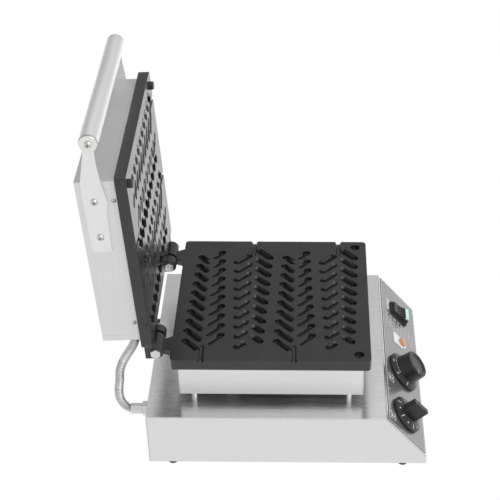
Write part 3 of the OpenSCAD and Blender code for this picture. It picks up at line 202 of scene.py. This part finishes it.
def steel(name, colour, rough, grain, edge, streak, spread=None, amount=0.0):
    """Brushed sheet: the grain is long along one axis and very fine across it.

    spread is the direction that a highlight is drawn out along, and amount says how much.
    """
    t = Tree(name)
    if spread:
        tangent = t.nt.nodes.new("ShaderNodeVectorTransform")
        tangent.vector_type = "VECTOR"
        tangent.convert_from = "OBJECT"
        tangent.convert_to = "WORLD"
        tangent.inputs[0].default_value = spread
        t.set(Anisotropic=amount, Tangent=tangent.outputs[0])
    scales = [grain_along if axis == grain else grain_across for axis in "xyz"]
    fine = t.noise(t.scaled(*scales), 1.0, 4.0, 0.65)
    broad = t.noise(t.scaled(*[v * 0.12 for v in scales]), 1.0, 2.0, 0.5)
    smudge = t.noise(t.coord, 9.0, 3.0, 0.6)
    wear = t.span(smudge, -0.03, 0.05)
    roughness = t.math("ADD", t.span(fine, rough - 0.06, rough + 0.06), wear)
    shade = t.blend(t.span(broad, 0.0, 1.0), darker(colour, 0.965), colour)
    shade = t.blend(t.span(smudge, 0.0, 0.5), shade, darker(colour, 0.975))
    t.set(Base_Color=shade, Metallic=1.0, Roughness=roughness,
          Normal=t.bump(fine, streak, 0.0002, t.edge(edge)))
    return t.mat


def plated(name, colour, rough, edge=0.0003, recess=0.0):
    """Zinc plating: a faint mottled haze and tiny pits; given a reach, painted shade darkens the inside of
    recesses of that size.
    """
    t = Tree(name)
    haze = t.noise(t.coord, 260.0, 4.0, 0.6)
    pits = t.voronoi(t.coord, 1900.0)
    shade = t.blend(t.span(haze, 0.0, 1.0), darker(colour, 0.86), colour)
    if recess:
        # Painted shade: ambient occlusion darkens the plating inside recesses such as screw crosses
        recess_shade = t.nt.nodes.new("ShaderNodeAmbientOcclusion")
        recess_shade.samples = 6
        recess_shade.only_local = True
        recess_shade.inputs["Distance"].default_value = recess
        shade = t.blend(t.span(recess_shade.outputs["AO"], 0.0, 1.0, 0.45, 0.85), darker(colour, 0.10), shade)
    t.set(Base_Color=shade, Metallic=1.0, Roughness=t.span(haze, rough - 0.07, rough + 0.09),
          Normal=t.bump(pits, 0.08, 0.0002, t.edge(edge)))
    return t.mat


def coating(name):
    """Non-stick coating on cast metal: fine pebble, dulled spots and slightly worn edges."""
    t = Tree(name)
    pebble = t.noise(t.coord, 2600.0, 3.0, 0.6)
    cloud = t.noise(t.coord, 26.0, 4.0, 0.62)
    shade = t.blend(t.span(cloud, 0.0, 1.0), (0.020, 0.020, 0.021), (0.027, 0.027, 0.028))
    rounded = t.edge(0.0018)
    t.set(Base_Color=shade, Metallic=0.0, Roughness=t.span(cloud, 0.20, 0.25),
          Specular_IOR_Level=0.55, Normal=t.bump(pebble, 0.05, 0.0002, rounded))
    return t.mat


def moulded(name, colour, rough, edge, grain, scale=1500.0, level=0.5):
    """Moulded plastic with a fine spark-eroded grain."""
    t = Tree(name)
    spark = t.noise(t.coord, scale, 3.0, 0.7)
    patch = t.noise(t.coord, 38.0, 3.0, 0.55)
    shade = t.blend(t.span(patch, 0.0, 1.0), darker(colour, 0.90), colour)
    t.set(Base_Color=shade, Metallic=0.0, Roughness=t.span(patch, rough - 0.04, rough + 0.05),
          Specular_IOR_Level=level, Normal=t.bump(spark, grain, 0.0002, t.edge(edge)))
    return t.mat


def film(name, colour):
    """Printed panel film: satin with a very fine even tooth."""
    t = Tree(name)
    tooth = t.noise(t.coord, 3200.0, 2.0, 0.5)
    drift = t.noise(t.coord, 14.0, 2.0, 0.5)
    shade = t.blend(t.span(drift, 0.0, 1.0), darker(colour, 0.95), colour)
    t.set(Base_Color=shade, Metallic=0.6, Roughness=t.span(tooth, 0.18, 0.26), Specular_IOR_Level=0.5,
          Normal=t.bump(tooth, 0.06, 0.0001, t.edge(0.0002)))
    return t.mat


def ink(name, colour):
    """Screen-printed ink, a little uneven in cover."""
    t = Tree(name)
    cover = t.noise(t.coord, 900.0, 3.0, 0.6)
    shade = t.blend(t.span(cover, 0.0, 1.0), darker(colour, 0.88), colour)
    t.set(Base_Color=shade, Roughness=t.span(cover, 0.42, 0.58))
    return t.mat


def lens(name, colour, glow):
    """Translucent coloured lens with moulded ribs inside."""
    t = Tree(name)
    ribs = t.noise(t.scaled(900.0, 60.0, 60.0), 1.0, 2.0, 0.4)
    shade = t.blend(t.span(ribs, 0.0, 1.0), darker(colour, 0.82), colour)
    t.set(Base_Color=shade, Roughness=0.18, Subsurface_Weight=0.25, Subsurface_Scale=0.002,
          Subsurface_Radius=(1.0, 0.5, 0.3), Emission_Color=shade, Emission_Strength=glow,
          Coat_Weight=0.4, Coat_Roughness=0.08, Normal=t.edge(0.0004))
    return t.mat


def fibre(name, colour):
    """Ceramic wool: tangled fibres seen as stretched noise in two directions."""
    t = Tree(name)
    one = t.noise(t.scaled(900.0, 90.0, 400.0), 1.0, 4.0, 0.7)
    two = t.noise(t.scaled(90.0, 900.0, 400.0), 1.0, 4.0, 0.7)
    both = t.math("MAXIMUM", one, two)
    shade = t.blend(t.span(both, 0.0, 1.0), darker(colour, 0.75), colour)
    t.set(Base_Color=shade, Roughness=0.95, Sheen_Weight=0.3, Normal=t.bump(both, 0.5, 0.0006))
    return t.mat


def rubbery(name, colour):
    """Rubber: a fine grain with patches of pale bloom."""
    t = Tree(name)
    bloom = t.noise(t.coord, 120.0, 4.0, 0.6)
    grain = t.noise(t.coord, 1700.0, 2.0, 0.6)
    shade = t.blend(t.span(bloom, 0.0, 1.0), colour, tuple(c + 0.014 for c in colour))
    t.set(Base_Color=shade, Roughness=t.span(bloom, 0.6, 0.75), Specular_IOR_Level=0.35,
          Normal=t.bump(grain, 0.15, 0.0002, t.edge(0.0005)))
    return t.mat


# The material of each look
STEEL = (0.80, 0.80, 0.80)
M = {
    "housing": steel("steel_housing", STEEL, 0.28, "y", 0.0009, 0.05, (1, 0, 0.3), 0.78),
    "heater_box": steel("steel_heater_box", STEEL, 0.33, "y", 0.0009, 0.05),
    "cover": steel("steel_cover", (0.79, 0.79, 0.79), 0.42, "z", 0.0012, 0.05, (0, 1, 0), 0.8),
    "bracket": steel("steel_bracket", (0.84, 0.84, 0.84), 0.30, "z", 0.0004, 0.05),
    "tube": steel("steel_tube", (0.90, 0.90, 0.90), 0.46, "x", 0.0002, 0.07),
    "turned": steel("steel_turned", (0.83, 0.83, 0.82), 0.24, "x", 0.0003, 0.06),
    "bottom": steel("steel_bottom", (0.70, 0.70, 0.69), 0.42, "y", 0.0004, 0.08),
    "conduit": plated("zinc_conduit", (0.80, 0.80, 0.79), 0.34, 0.0001),
    # Darker zinc for the painted shade in the conduit's grooves
    "conduit_groove_shade": plated("zinc_conduit_groove_shade", (0.30, 0.30, 0.30), 0.50, 0.0001),
    # Zinc fasteners, with painted shade inside their cross recesses
    "zinc": plated("zinc_fasteners", (0.74, 0.74, 0.73), 0.25, 0.0003, 0.0016),
    "zinc_dull": plated("zinc_hidden", (0.60, 0.60, 0.59), 0.36),
    "element": plated("element_sheath", (0.23, 0.22, 0.21), 0.50),
    "brass": plated("brass", (0.74, 0.58, 0.30), 0.28),
    "coating": coating("nonstick_coating"),
    "knob": moulded("knob_plastic", (0.012, 0.012, 0.013), 0.38, 0.0005, 0.10, 1700.0, 0.55),
    "pin": moulded("pin_black", (0.026, 0.026, 0.026), 0.40, 0.0003, 0.05),
    "gland": moulded("gland_plastic", (0.018, 0.018, 0.019), 0.46, 0.0005, 0.15, 1200.0),
    "switch": moulded("switch_plastic", (0.016, 0.018, 0.018), 0.30, 0.0004, 0.05, 1500.0, 0.6),
    "white": moulded("white_plastic", (0.82, 0.82, 0.80), 0.42, 0.0003, 0.06),
    "ceramic": moulded("ceramic", (0.86, 0.85, 0.80), 0.50, 0.0004, 0.10, 800.0),
    "phenolic": moulded("phenolic", (0.20, 0.12, 0.06), 0.45, 0.0004, 0.10, 700.0),
    "plate_white": moulded("indicator_plate", (0.90, 0.90, 0.89), 0.35, 0.0003, 0.04),
    "film": film("panel_film", (0.30, 0.30, 0.30)),
    "border": ink("ink_border", (0.84, 0.84, 0.84)),
    "white_ink": ink("ink_white", (0.86, 0.86, 0.86)),
    "faint_ink": ink("ink_faint", (0.52, 0.52, 0.52)),
    "dark_ink": ink("ink_dark", (0.045, 0.045, 0.045)),
    "patch_ink": ink("ink_patch", (0.84, 0.84, 0.84)),
    # Dark sheets of painted shade along seams, folds, tab edges and gaps
    "seam_shade": moulded("seam_shadow", (0.05, 0.05, 0.05), 0.60, 0.0001, 0.10),
    "tab_shade": moulded("tab_shadow", (0.20, 0.20, 0.20), 0.50, 0.0001, 0.10),
    "knob_ring": moulded("knob_ring", (0.050, 0.050, 0.051), 0.30, 0.0001, 0.08),
    "rubber": rubbery("rubber_foot", (0.020, 0.020, 0.020)),
    "lead": rubbery("lead_sleeve", (0.22, 0.02, 0.02)),
    "amber": lens("lens_amber", (0.66, 0.27, 0.10), 0.10),
    "mint": lens("lens_mint", (0.56, 0.80, 0.72), 0.30),
    "wool": fibre("ceramic_wool", (0.80, 0.78, 0.70)),
}

# The CAD bodies that wear each look
LOOKS = {
    "housing": ["base_housing"],
    "bottom": ["base_bottom_plate"],
    "heater_box": ["lower_heater_box"],
    "cover": ["lid_cover"],
    "bracket": ["handle_bracket_left", "handle_bracket_right"],
    "tube": ["handle_tube"],
    "turned": ["handle_end_caps", "box_standoffs"],
    "coating": ["lower_grill_plate", "upper_grill_plate"],
    "pin": ["registration_pins"],
    "zinc": ["hinge_bolts", "hinge_nuts", "bracket_screws", "handle_end_screws", "lid_cover_screws",
             "conduit_base_fitting", "conduit_lid_grommet", "feet_screws"],
    "zinc_dull": ["feet_nuts", "tie_bolts", "tie_bolt_washers", "lower_heater_clamp", "lower_clamp_screws",
                  "upper_heater_clamp", "upper_clamp_screws", "conduit_locknut", "handle_tube_plugs",
                  "bracket_nuts", "thermostat_spindle", "timer_spindle", "thermostat_probe"],
    "element": ["lower_heating_element", "upper_heating_element"],
    "brass": ["terminal_screws", "earth_stud"],
    "knob": ["thermostat_knob", "timer_knob"],
    "gland": ["power_cord_gland", "gland_locknut"],
    "switch": ["switch_rocker", "switch_housing"],
    "white": ["timer_body", "terminal_block"],
    "ceramic": ["wire_sleeve"],
    "phenolic": ["thermostat_body"],
    "plate_white": ["indicator_bezel"],
    "film": ["control_panel_overlay"],
    "amber": ["indicator_lamp"],
    "mint": ["switch_lens"],
    "rubber": ["rubber_feet"],
    "lead": ["wiring_loom"],
    "wool": ["lower_insulation", "upper_insulation"],
    "conduit": ["conduit"],
}
for look, names in LOOKS.items():
    for node_name in names:
        node_mesh = frame["nodes"][node_name].data
        node_mesh.materials.clear()
        node_mesh.materials.append(M[look])


# ---------------------------------------------------------------- mesh helpers
def shift(x, y, z):
    return Matrix.Translation((x, y, z))


def turn_about(axis, angle):
    return Matrix.Rotation(angle, 4, axis)


def piece(name, verts, faces, look, body, smooth=None):
    """A mesh in one look that rides on a body, unless that is None; smooth below that angle."""
    mesh = bpy.data.meshes.new(name)
    mesh.from_pydata([tuple(v) for v in verts], [], faces)
    mesh.materials.append(M[look])
    mesh.update()
    if smooth is not None:
        mesh.shade_smooth()
        mesh.set_sharp_from_angle(angle=math.radians(smooth))
    obj = bpy.data.objects.new(name, mesh)
    scene.collection.objects.link(obj)
    if body:
        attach(obj, body)
    return obj


class Shape:
    """Gathers slabs, flat outlines, rings and figures into one mesh; each stands on its place."""

    def __init__(self):
        self.verts, self.faces = [], []

    def add(self, verts, faces, place):
        start = len(self.verts)
        self.verts += [place @ Vector(v) for v in verts]
        self.faces += [tuple(i + start for i in f) for f in faces]

    def slab(self, w, l, t, place):
        x, y = w / 2, l / 2
        corners = [(-x, -y), (x, -y), (x, y), (-x, y)]
        verts = [(a, b, 0.0) for a, b in corners] + [(a, b, t) for a, b in corners]
        faces = [(3, 2, 1, 0), (4, 5, 6, 7), (0, 1, 5, 4), (1, 2, 6, 5), (2, 3, 7, 6), (3, 0, 4, 7)]
        self.add(verts, faces, place)

    def outline(self, points, t, place):
        n = len(points)
        verts = [(x, y, 0.0) for x, y in points] + [(x, y, t) for x, y in points]
        faces = [tuple(range(n - 1, -1, -1)), tuple(range(n, 2 * n))]
        faces += [(i, (i + 1) % n, n + (i + 1) % n, n + i) for i in range(n)]
        self.add(verts, faces, place)

    def ring(self, r0, r1, t, place, steps):
        """A flat ring between two radii, as a row of short outlines."""
        for k in range(steps):
            a, b = 2 * math.pi * k / steps, 2 * math.pi * (k + 1) / steps
            corners = ((r0, a), (r1, a), (r1, b), (r0, b))
            self.outline([(r * math.cos(q), r * math.sin(q)) for r, q in corners], t, place)

    def text(self, words, size, t, place):
        """Dial figures, as a solid of thickness t, centred on the place."""
        curve = bpy.data.curves.new("figures", "FONT")
        curve.body = words
        curve.size = size
        curve.align_x = "CENTER"
        curve.align_y = "CENTER"
        curve.extrude = t / 2
        curve.resolution_u = 3
        holder = bpy.data.objects.new("figures", curve)
        scene.collection.objects.link(holder)
        flat = bpy.data.meshes.new_from_object(holder)
        self.add([v.co + Vector((0, 0, t / 2)) for v in flat.vertices],
                 [tuple(p.vertices) for p in flat.polygons], place)
        bpy.data.objects.remove(holder)
        bpy.data.curves.remove(curve)
        bpy.data.meshes.remove(flat)

    def make(self, name, look, body):
        return piece(name, self.verts, self.faces, look, body)


# ---------------------------------------------------------------- conduit
def opened(x, y, z):
    """Where a point of the shut lid is once the lid is open."""
    return to_open @ Vector((x, y, z))


def smooth_path(points, steps):
    """A Catmull-Rom curve through the points, steps to a span."""
    pts = [Vector(p) for p in points]
    ends = [pts[0]] + pts + [pts[-1]]
    path = []
    for i in range(len(pts) - 1):
        a, b, c, d = ends[i:i + 4]
        for j in range(steps):
            t = j / steps
            path.append(0.5 * (2 * b + (c - a) * t + (2 * a - 5 * b + 4 * c - d) * t ** 2
                               + (3 * b - a - 3 * c + d) * t ** 3))
    path.append(pts[-1])
    return path


def even_path(path, gap):
    """The same path with points a fixed distance apart."""
    out, carried = [path[0]], 0.0
    for a, b in zip(path, path[1:]):
        step = (b - a).length
        while carried + step >= gap:
            need = gap - carried
            a = a + (b - a) * (need / step)
            out.append(a.copy())
            step = (b - a).length
            carried = 0.0
        carried += step
    return out


# The CAD conduit's route: out of the base's rear wall, up and round, and in at the open lid's cover
cover_rear_y = 0.152
entry_x, entry_z = -0.120, 0.2066
entry_reach = 0.003
conduit_x, conduit_z, rear_y = -0.136, 0.086, 0.200
entry_out = opened(entry_x, cover_rear_y + entry_reach, entry_z)
entry_in = opened(entry_x, cover_rear_y - entry_reach, entry_z)
exit_at = Vector((conduit_x, rear_y, conduit_z))
route = [exit_at + Vector(v) * MM for v in (
    (0, 18, 0), (0, 24, 0), (0.5, 31, 4), (1, 36.5, 12.5), (1.5, 39, 22), (2, 39, 34))]
route += [entry_out + Vector(v) * MM for v in (
    (-11, 27, -72), (-8, 26, -58), (-5, 20.5, -43), (-3, 12.5, -29), (-1, 4, -14), (0, 0, 0))]
route.append(entry_in)

# The profile in millimetres: rings a pitch apart rise from a groove's radius, sampled every slice
groove_r, ridge_h, ridge_power = 5.05, 1.4, 0.6
ring_pitch, slice_gap = 3.1, 0.28
# Slices lower than this share of a ring's rise get the painted shade of the grooves
groove_shade_height = 0.22
sides = 32


def corrugated(path):
    """Vertices and faces of a ringed tube along the path, and the slices in a groove, which get painted
    shade.
    """
    verts, faces, groove_shade_rows = [], [], []
    last = len(path) - 1
    for i, here in enumerate(path):
        along = (path[min(i + 1, last)] - path[max(i - 1, 0)]).normalized()
        across = (Vector((1, 0, 0)) - along * along.x).normalized()
        other = along.cross(across)
        wave = 0.5 + 0.5 * math.cos(2 * math.pi * i * slice_gap / ring_pitch)
        r = (groove_r + ridge_h * wave ** ridge_power) * MM
        if wave < groove_shade_height:
            groove_shade_rows.append(i)
        for k in range(sides):
            a = 2 * math.pi * k / sides
            verts.append(here + r * (math.cos(a) * across + math.sin(a) * other))
    for i in range(last):
        for k in range(sides):
            k2 = (k + 1) % sides
            faces.append((i * sides + k, i * sides + k2, (i + 1) * sides + k2, (i + 1) * sides + k))
    faces.append(tuple(range(sides - 1, -1, -1)))
    faces.append(tuple(last * sides + k for k in range(sides)))
    return verts, faces, groove_shade_rows


ridge_verts, ridge_faces, groove_shade_slices = corrugated(even_path(smooth_path(route, 40), slice_gap * MM))
conduit = piece("conduit_corrugated", ridge_verts, ridge_faces, "conduit", None, 60)
# The slices in the grooves take a darker zinc: painted shade in the grooves
conduit.data.materials.append(M["conduit_groove_shade"])
for i in groove_shade_slices:
    for k in range(sides):
        conduit.data.polygons[i * sides + k].material_index = 1
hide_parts("conduit")
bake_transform(conduit)

# ---------------------------------------------------------------- panel film: borders, patches, dashes
film_top = 0.6 * MM
film_low, film_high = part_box("control_panel_overlay")
film_w = film_high.x - film_low.x
film_l = 85.7 * MM
film_mid = panel_len / 2 + 1.5 * MM
film_place = panel_place(0.0, film_mid, film_top)
printed = 0.05 * MM


def frame_line(name, look, inset, line_w):
    """A line round the film, inset from its edge."""
    shape = Shape()
    for sign in (-1, 1):
        shape.slab(film_w - 2 * inset, line_w, printed,
                   film_place @ shift(0, sign * (film_l / 2 - inset), 0))
        shape.slab(line_w, film_l - 2 * inset - line_w, printed,
                   film_place @ shift(sign * (film_w / 2 - inset), 0, 0))
    shape.make(name, look, "base")


frame_line("panel_edge_line", "dark_ink", 0.5 * MM, 1.0 * MM)
frame_line("panel_border_line", "border", 1.9 * MM, 1.2 * MM)
frame_line("panel_inner_line", "dark_ink", 2.85 * MM, 0.5 * MM)

patch_line = 0.9 * MM


def patch(shape, x, s, w, l):
    """A bare outlined patch w by l with two plain bars in it, at x across the panel and s down it."""
    at = panel_place(x, s, film_top)
    for sign in (-1, 1):
        shape.slab(w, patch_line, printed, at @ shift(0, sign * (l - patch_line) / 2, 0))
        shape.slab(patch_line, l - 2 * patch_line, printed, at @ shift(sign * (w - patch_line) / 2, 0, 0))
    shape.slab(w * 0.5, l * 0.22, printed, at @ shift(0, l * 0.16, 0))
    shape.slab(w * 0.34, l * 0.16, printed, at @ shift(0, -l * 0.18, 0))


def bar(shape, x, s, w, l):
    """A plain printed bar w by l, at x across the panel and s down it."""
    shape.slab(w, l, printed, panel_place(x, s, film_top))


patches = Shape()
patch(patches, -64 * MM, 17.5 * MM, 15 * MM, 12 * MM)
patch(patches, -146 * MM, 16.5 * MM, 15 * MM, 11 * MM)
bar(patches, -93.5 * MM, 11.5 * MM, 3.2 * MM, 1.8 * MM)
bar(patches, 113 * MM, 22.2 * MM, 26 * MM, 4.2 * MM)
patches.make("panel_bare_patches", "patch_ink", "base")

# Columns of faint dashes, each column a little lower than the one before
dash_cols, dash_rows = 4, 8
dash_x, dash_s = 61.8 * MM, 15.5 * MM
dash_step_x, dash_step_s, dash_drop = 8.6 * MM, 9.2 * MM, 1.2 * MM
dash_w, dash_l, dash_growth = 4.2 * MM, 4.8 * MM, 1.2 * MM
dashes = Shape()
for col in range(dash_cols):
    for row in range(dash_rows):
        bar(dashes, dash_x + col * dash_step_x, dash_s + row * dash_step_s + col * dash_drop,
            dash_w, dash_l + dash_growth * ((row + col) % 3))
dashes.make("panel_tick_rows", "faint_ink", "base")

# ---------------------------------------------------------------- dial marks
thermostat_x, timer_x = -29 * MM, -121 * MM
rim_z, cone_z = 4.0 * MM, 8.0 * MM
rim_bevel = 0.8 * MM
knob_lift = 1.0 * MM
mark_t, mark_w = 0.06 * MM, 1.1 * MM
dot_corners = 10


def knob_place(x, h=0.0):
    return panel_place(x, panel_len / 2, film_top + knob_lift + h)


class Dial:
    """Marks on a knob's cone; angles in degrees from straight up the slope, turning to the left."""

    def __init__(self, x, skirt_r, cone_r):
        self.base = knob_place(x)
        self.outer = skirt_r - rim_bevel
        self.slope = math.atan2(cone_z - rim_z, self.outer - cone_r)
        self.shape = Shape()

    def at(self, angle, r):
        z = rim_z + (self.outer - r) * math.tan(self.slope)
        around = turn_about("Z", math.radians(angle))
        return self.base @ around @ shift(0, r, z) @ turn_about("X", -self.slope)

    def tick(self, angle, r0, r1):
        self.shape.slab(mark_w, r1 - r0, mark_t, self.at(angle, (r0 + r1) / 2))

    def dot(self, angle, r, size):
        angles = [2 * math.pi * k / dot_corners for k in range(dot_corners)]
        corners = [(size / 2 * math.cos(a), size / 2 * math.sin(a)) for a in angles]
        self.shape.outline(corners, mark_t, self.at(angle, r))

    def figure(self, angle, r, words, size):
        self.shape.text(words, size, mark_t, self.at(angle, r))


# Temperatures every 50 degrees with small dots between them, and a tick near where the pointer rests
figures, figure_first, figure_step = 6, 47, 46
dots_between, dot_step = 5, 7.6
dot_turn = -1
thermostat = Dial(thermostat_x, 31.5 * MM, 24 * MM)
thermostat.tick(94, 24.5 * MM, 29.3 * MM)
for step in range(figures):
    angle = figure_first - figure_step * step
    thermostat.figure(angle, 28.2 * MM, str(50 * (step + 1)), 3.9 * MM)
    thermostat.dot(angle + dot_turn, 24.9 * MM, 1.5 * MM)
    if step < figures - 1:
        for k in range(1, dots_between + 1):
            thermostat.dot(angle + dot_turn - dot_step * k, 24.8 * MM, 1.1 * MM)
thermostat.shape.make("thermostat_marks", "white_ink", "thermostat_dial")

# Ticks and dots in turn round the timer
timer_marks, timer_first, timer_step = 11, -16, 31.5
timer = Dial(timer_x, 28.5 * MM, 17.5 * MM)
for k in range(timer_marks):
    angle = timer_first + timer_step * k
    if k % 2:
        timer.dot(angle, 22.6 * MM, 2.3 * MM)
    else:
        timer.tick(angle, 19.5 * MM, 26.2 * MM)
timer.shape.make("timer_marks", "white_ink", "timer_dial")

pointer_w, pointer_t = 1.2 * MM, 0.1 * MM


def pointer(name, x, h, inner, outer, depth, angle, body):
    """A painted line in a knob's pointer groove, at a height, that turns down over the rim."""
    shape = Shape()
    turned = knob_place(x) @ turn_about("Z", math.radians(angle))
    top = turned @ shift(0, (outer + inner) / 2, h)
    shape.slab(pointer_w, outer - inner, pointer_t, top)
    side = turned @ shift(0, outer, h - depth / 2 + pointer_t) @ turn_about("X", -math.pi / 2)
    shape.slab(pointer_w, depth, pointer_t, side)
    shape.make(name, "white_ink", body)


pointer("thermostat_pointer", thermostat_x, 28.4 * MM, 14 * MM, 20.9 * MM, 1.0 * MM, 92, "thermostat_dial")
pointer("timer_pointer", timer_x, 27.8 * MM, 8.2 * MM, 15 * MM, 0.6 * MM, 4, "timer_dial")

# A faint turned ring in the thermostat grip's dish
dish_z = 27.0 * MM
grip_ring = Shape()
grip_ring.ring(7.2 * MM, 8.6 * MM, 0.08 * MM, knob_place(thermostat_x, dish_z), 48)
grip_ring.make("thermostat_grip_ring", "knob_ring", "thermostat_dial")

# ---------------------------------------------------------------- sheet seams and folds, drawn as lines of painted shade
seam_t = 0.08 * MM


def wall_line(shape, points, w, wall_x, side):
    """A thin line w wide on a side wall through (y, z) points; side -1 is the left wall."""
    x = side * (wall_x - seam_t / 2)
    for (y0, z0), (y1, z1) in zip(points, points[1:]):
        tilt = shift(x, (y0 + y1) / 2, (z0 + z1) / 2) @ turn_about("X", math.atan2(z1 - z0, y1 - y0))
        shape.slab(seam_t, math.hypot(y1 - y0, z1 - z0), w, tilt @ shift(0, 0, -w / 2))


# The housing's edges, drawn as lines of painted shade: along the slope, down the rear corner and under the
# deck's edge
slope_in = Vector((0, math.sin(panel_angle), -math.cos(panel_angle))) * 1.4 * MM
rear_seam_y = base_high.y - 1.2 * MM
rear_seam_low = 11 * MM
seams = Shape()
for side in (-1, 1):
    slope_top = (y_fold + slope_in.y, z_deck + slope_in.z)
    slope_foot = (y_front + slope_in.y, z_lip + slope_in.z)
    wall_line(seams, [slope_top, slope_foot], 0.35 * MM, base_high.x, side)
    wall_line(seams, [(rear_seam_y, z_deck - 1.5 * MM), (rear_seam_y, rear_seam_low)], 0.3 * MM,
              base_high.x, side)
    wall_line(seams, [(y_fold, z_deck - 1.3 * MM), (rear_seam_y, z_deck - 1.3 * MM)], 0.22 * MM,
              base_high.x, side)
seams.make("housing_edge_seam_shade", "seam_shade", "base")

# Two lines of painted shade just down the slope from the panel's fold
fold = Shape()
fold_at = shift(0, y_fold, z_deck) @ turn_about("X", panel_angle)
for offset, width in ((0.6 * MM, 0.5 * MM), (2.0 * MM, 0.4 * MM)):
    fold.slab(2 * base_high.x - 2 * MM, width, 0.04 * MM, fold_at @ shift(0, -offset, 0))
fold.make("panel_fold_shade_lines", "seam_shade", "base")

# Fold tabs of the cover, drawn as lines of painted shade: a line near each end of its walls, and a mitre at
# the corner
cover_side = 0.1325
cover_front_y, cover_low_z, cover_top_z = -0.1085, 0.1970, 0.2500
front_tab, rear_tab, mitre = 11.5 * MM, 9.0 * MM, 10.5 * MM
tab_low, tab_high = cover_low_z + 0.5 * MM, cover_top_z - 0.3 * MM
front_tab_y, rear_tab_y = cover_front_y + front_tab, cover_rear_y - rear_tab
tabs = Shape()
for side in (-1, 1):
    wall_line(tabs, [(front_tab_y, tab_low), (front_tab_y, tab_high)], 0.35 * MM, cover_side, side)
    wall_line(tabs, [(cover_front_y + 0.5 * MM, cover_top_z - 0.5 * MM), (front_tab_y, cover_top_z - mitre)],
              0.3 * MM, cover_side, side)
    wall_line(tabs, [(rear_tab_y, tab_low), (rear_tab_y, tab_high)], 0.3 * MM, cover_side, side)
tabs.verts = [to_open @ v for v in tabs.verts]
tabs.make("cover_fold_tab_shade", "tab_shade", "lid")

# Vertical corner seams of the heater box, drawn as lines of painted shade
box_corner_seam_shade = Shape()
for side in (-1, 1):
    for y in (box_low.y + 1.0 * MM, box_high.y - 1.0 * MM):
        wall_line(box_corner_seam_shade, [(y, box_low.z + 0.5 * MM), (y, box_high.z - 0.3 * MM)], 0.25 * MM,
                  box_high.x, side)
box_corner_seam_shade.make("heater_box_corner_seam_shade", "tab_shade", "base")

# Painted shade in the gaps at the handle tube's ends, between the tube, the brackets and the caps
tube_r = 12.5 * MM
handle_y, handle_z = -0.166, 0.2225
joints = Shape()
for side in (-1, 1):
    for x, r0, r1, t in ((cover_side - 0.45 * MM, tube_r - 0.25 * MM, tube_r, 0.35 * MM),
                         (cover_side + 2.0 * MM, tube_r - 0.5 * MM, tube_r - 0.12 * MM, 0.05 * MM)):
        joints.ring(r0, r1, t, shift(side * x, handle_y, handle_z) @ turn_about("Y", side * math.pi / 2), 64)
joints.verts = [to_open @ v for v in joints.verts]
joints.make("handle_end_gap_shade", "tab_shade", "lid")

# ---------------------------------------------------------------- world and lights
# White where the camera sees it; a brighter floor and a shaded wall where the object does
world = bpy.data.worlds.new("studio")
scene.world = world
world.use_nodes = True
wn = world.node_tree
wn.nodes.clear()
world_out = wn.nodes.new("ShaderNodeOutputWorld")
seen = wn.nodes.new("ShaderNodeBackground")
seen.inputs["Color"].default_value = (1, 1, 1, 1)
seen.inputs["Strength"].default_value = 1.0
studio = wn.nodes.new("ShaderNodeBackground")
coords = wn.nodes.new("ShaderNodeTexCoord")
split = wn.nodes.new("ShaderNodeSeparateXYZ")
wn.links.new(coords.outputs["Generated"], split.inputs[0])


def wmath(kind, a, b):
    node = wn.nodes.new("ShaderNodeMath")
    node.operation = kind
    for socket, value in zip(node.inputs, (a, b)):
        if isinstance(value, bpy.types.NodeSocket):
            wn.links.new(value, socket)
        else:
            socket.default_value = value
    return node.outputs[0]


def wspan(value, from_low, from_high, low, high):
    node = wn.nodes.new("ShaderNodeMapRange")
    node.interpolation_type = "SMOOTHSTEP"
    wn.links.new(value, node.inputs["Value"])
    for key, number in (("From Min", from_low), ("From Max", from_high), ("To Min", low), ("To Max", high)):
        node.inputs[key].default_value = number
    return node.outputs[0]


# The studio's strength by direction: how much of it is floor, then the floor's and the wall's own strengths
floor_part = wspan(split.outputs["Z"], -0.25, 0.05, 1.0, 0.0)
floor_level = wspan(split.outputs["X"], -0.3, 0.5, 0.90, 1.20)
wall_level = wmath("ADD", wspan(split.outputs["X"], -0.9, 0.9, 0.85, 0.52),
                   wspan(split.outputs["Y"], -0.6, 0.6, 0.12, -0.10))
level = wmath("ADD", wmath("MULTIPLY", floor_part, floor_level),
              wmath("MULTIPLY", wmath("SUBTRACT", 1.0, floor_part), wall_level))
wn.links.new(level, studio.inputs["Strength"])
studio.inputs["Color"].default_value = (1.0, 1.0, 1.0, 1)
rays = wn.nodes.new("ShaderNodeLightPath")
pick = wn.nodes.new("ShaderNodeMixShader")
wn.links.new(rays.outputs["Is Camera Ray"], pick.inputs[0])
wn.links.new(studio.outputs[0], pick.inputs[1])
wn.links.new(seen.outputs[0], pick.inputs[2])
wn.links.new(pick.outputs[0], world_out.inputs["Surface"])


def softbox(name, at, aim, size, power):
    """A rectangular light that the camera doesn't see, turned to its aim."""
    data = bpy.data.lights.new(name, "AREA")
    data.shape = "RECTANGLE"
    data.size, data.size_y = size
    data.energy = power
    lamp = bpy.data.objects.new(name, data)
    scene.collection.objects.link(lamp)
    aim_dir = Vector(aim) - Vector(at)
    lamp.matrix_world = Matrix.Translation(at) @ aim_dir.to_track_quat("-Z", "Y").to_matrix().to_4x4()
    lamp.visible_camera = False


middle = (0, 0.05, 0.2)
softbox("key_box", (-0.9, -0.9, 1.7), middle, (1.2, 0.9), 7.0)
softbox("top_box", (0.3, 0.1, 1.9), middle, (1.0, 1.4), 4.0)

scene.view_settings.view_transform = "Standard"
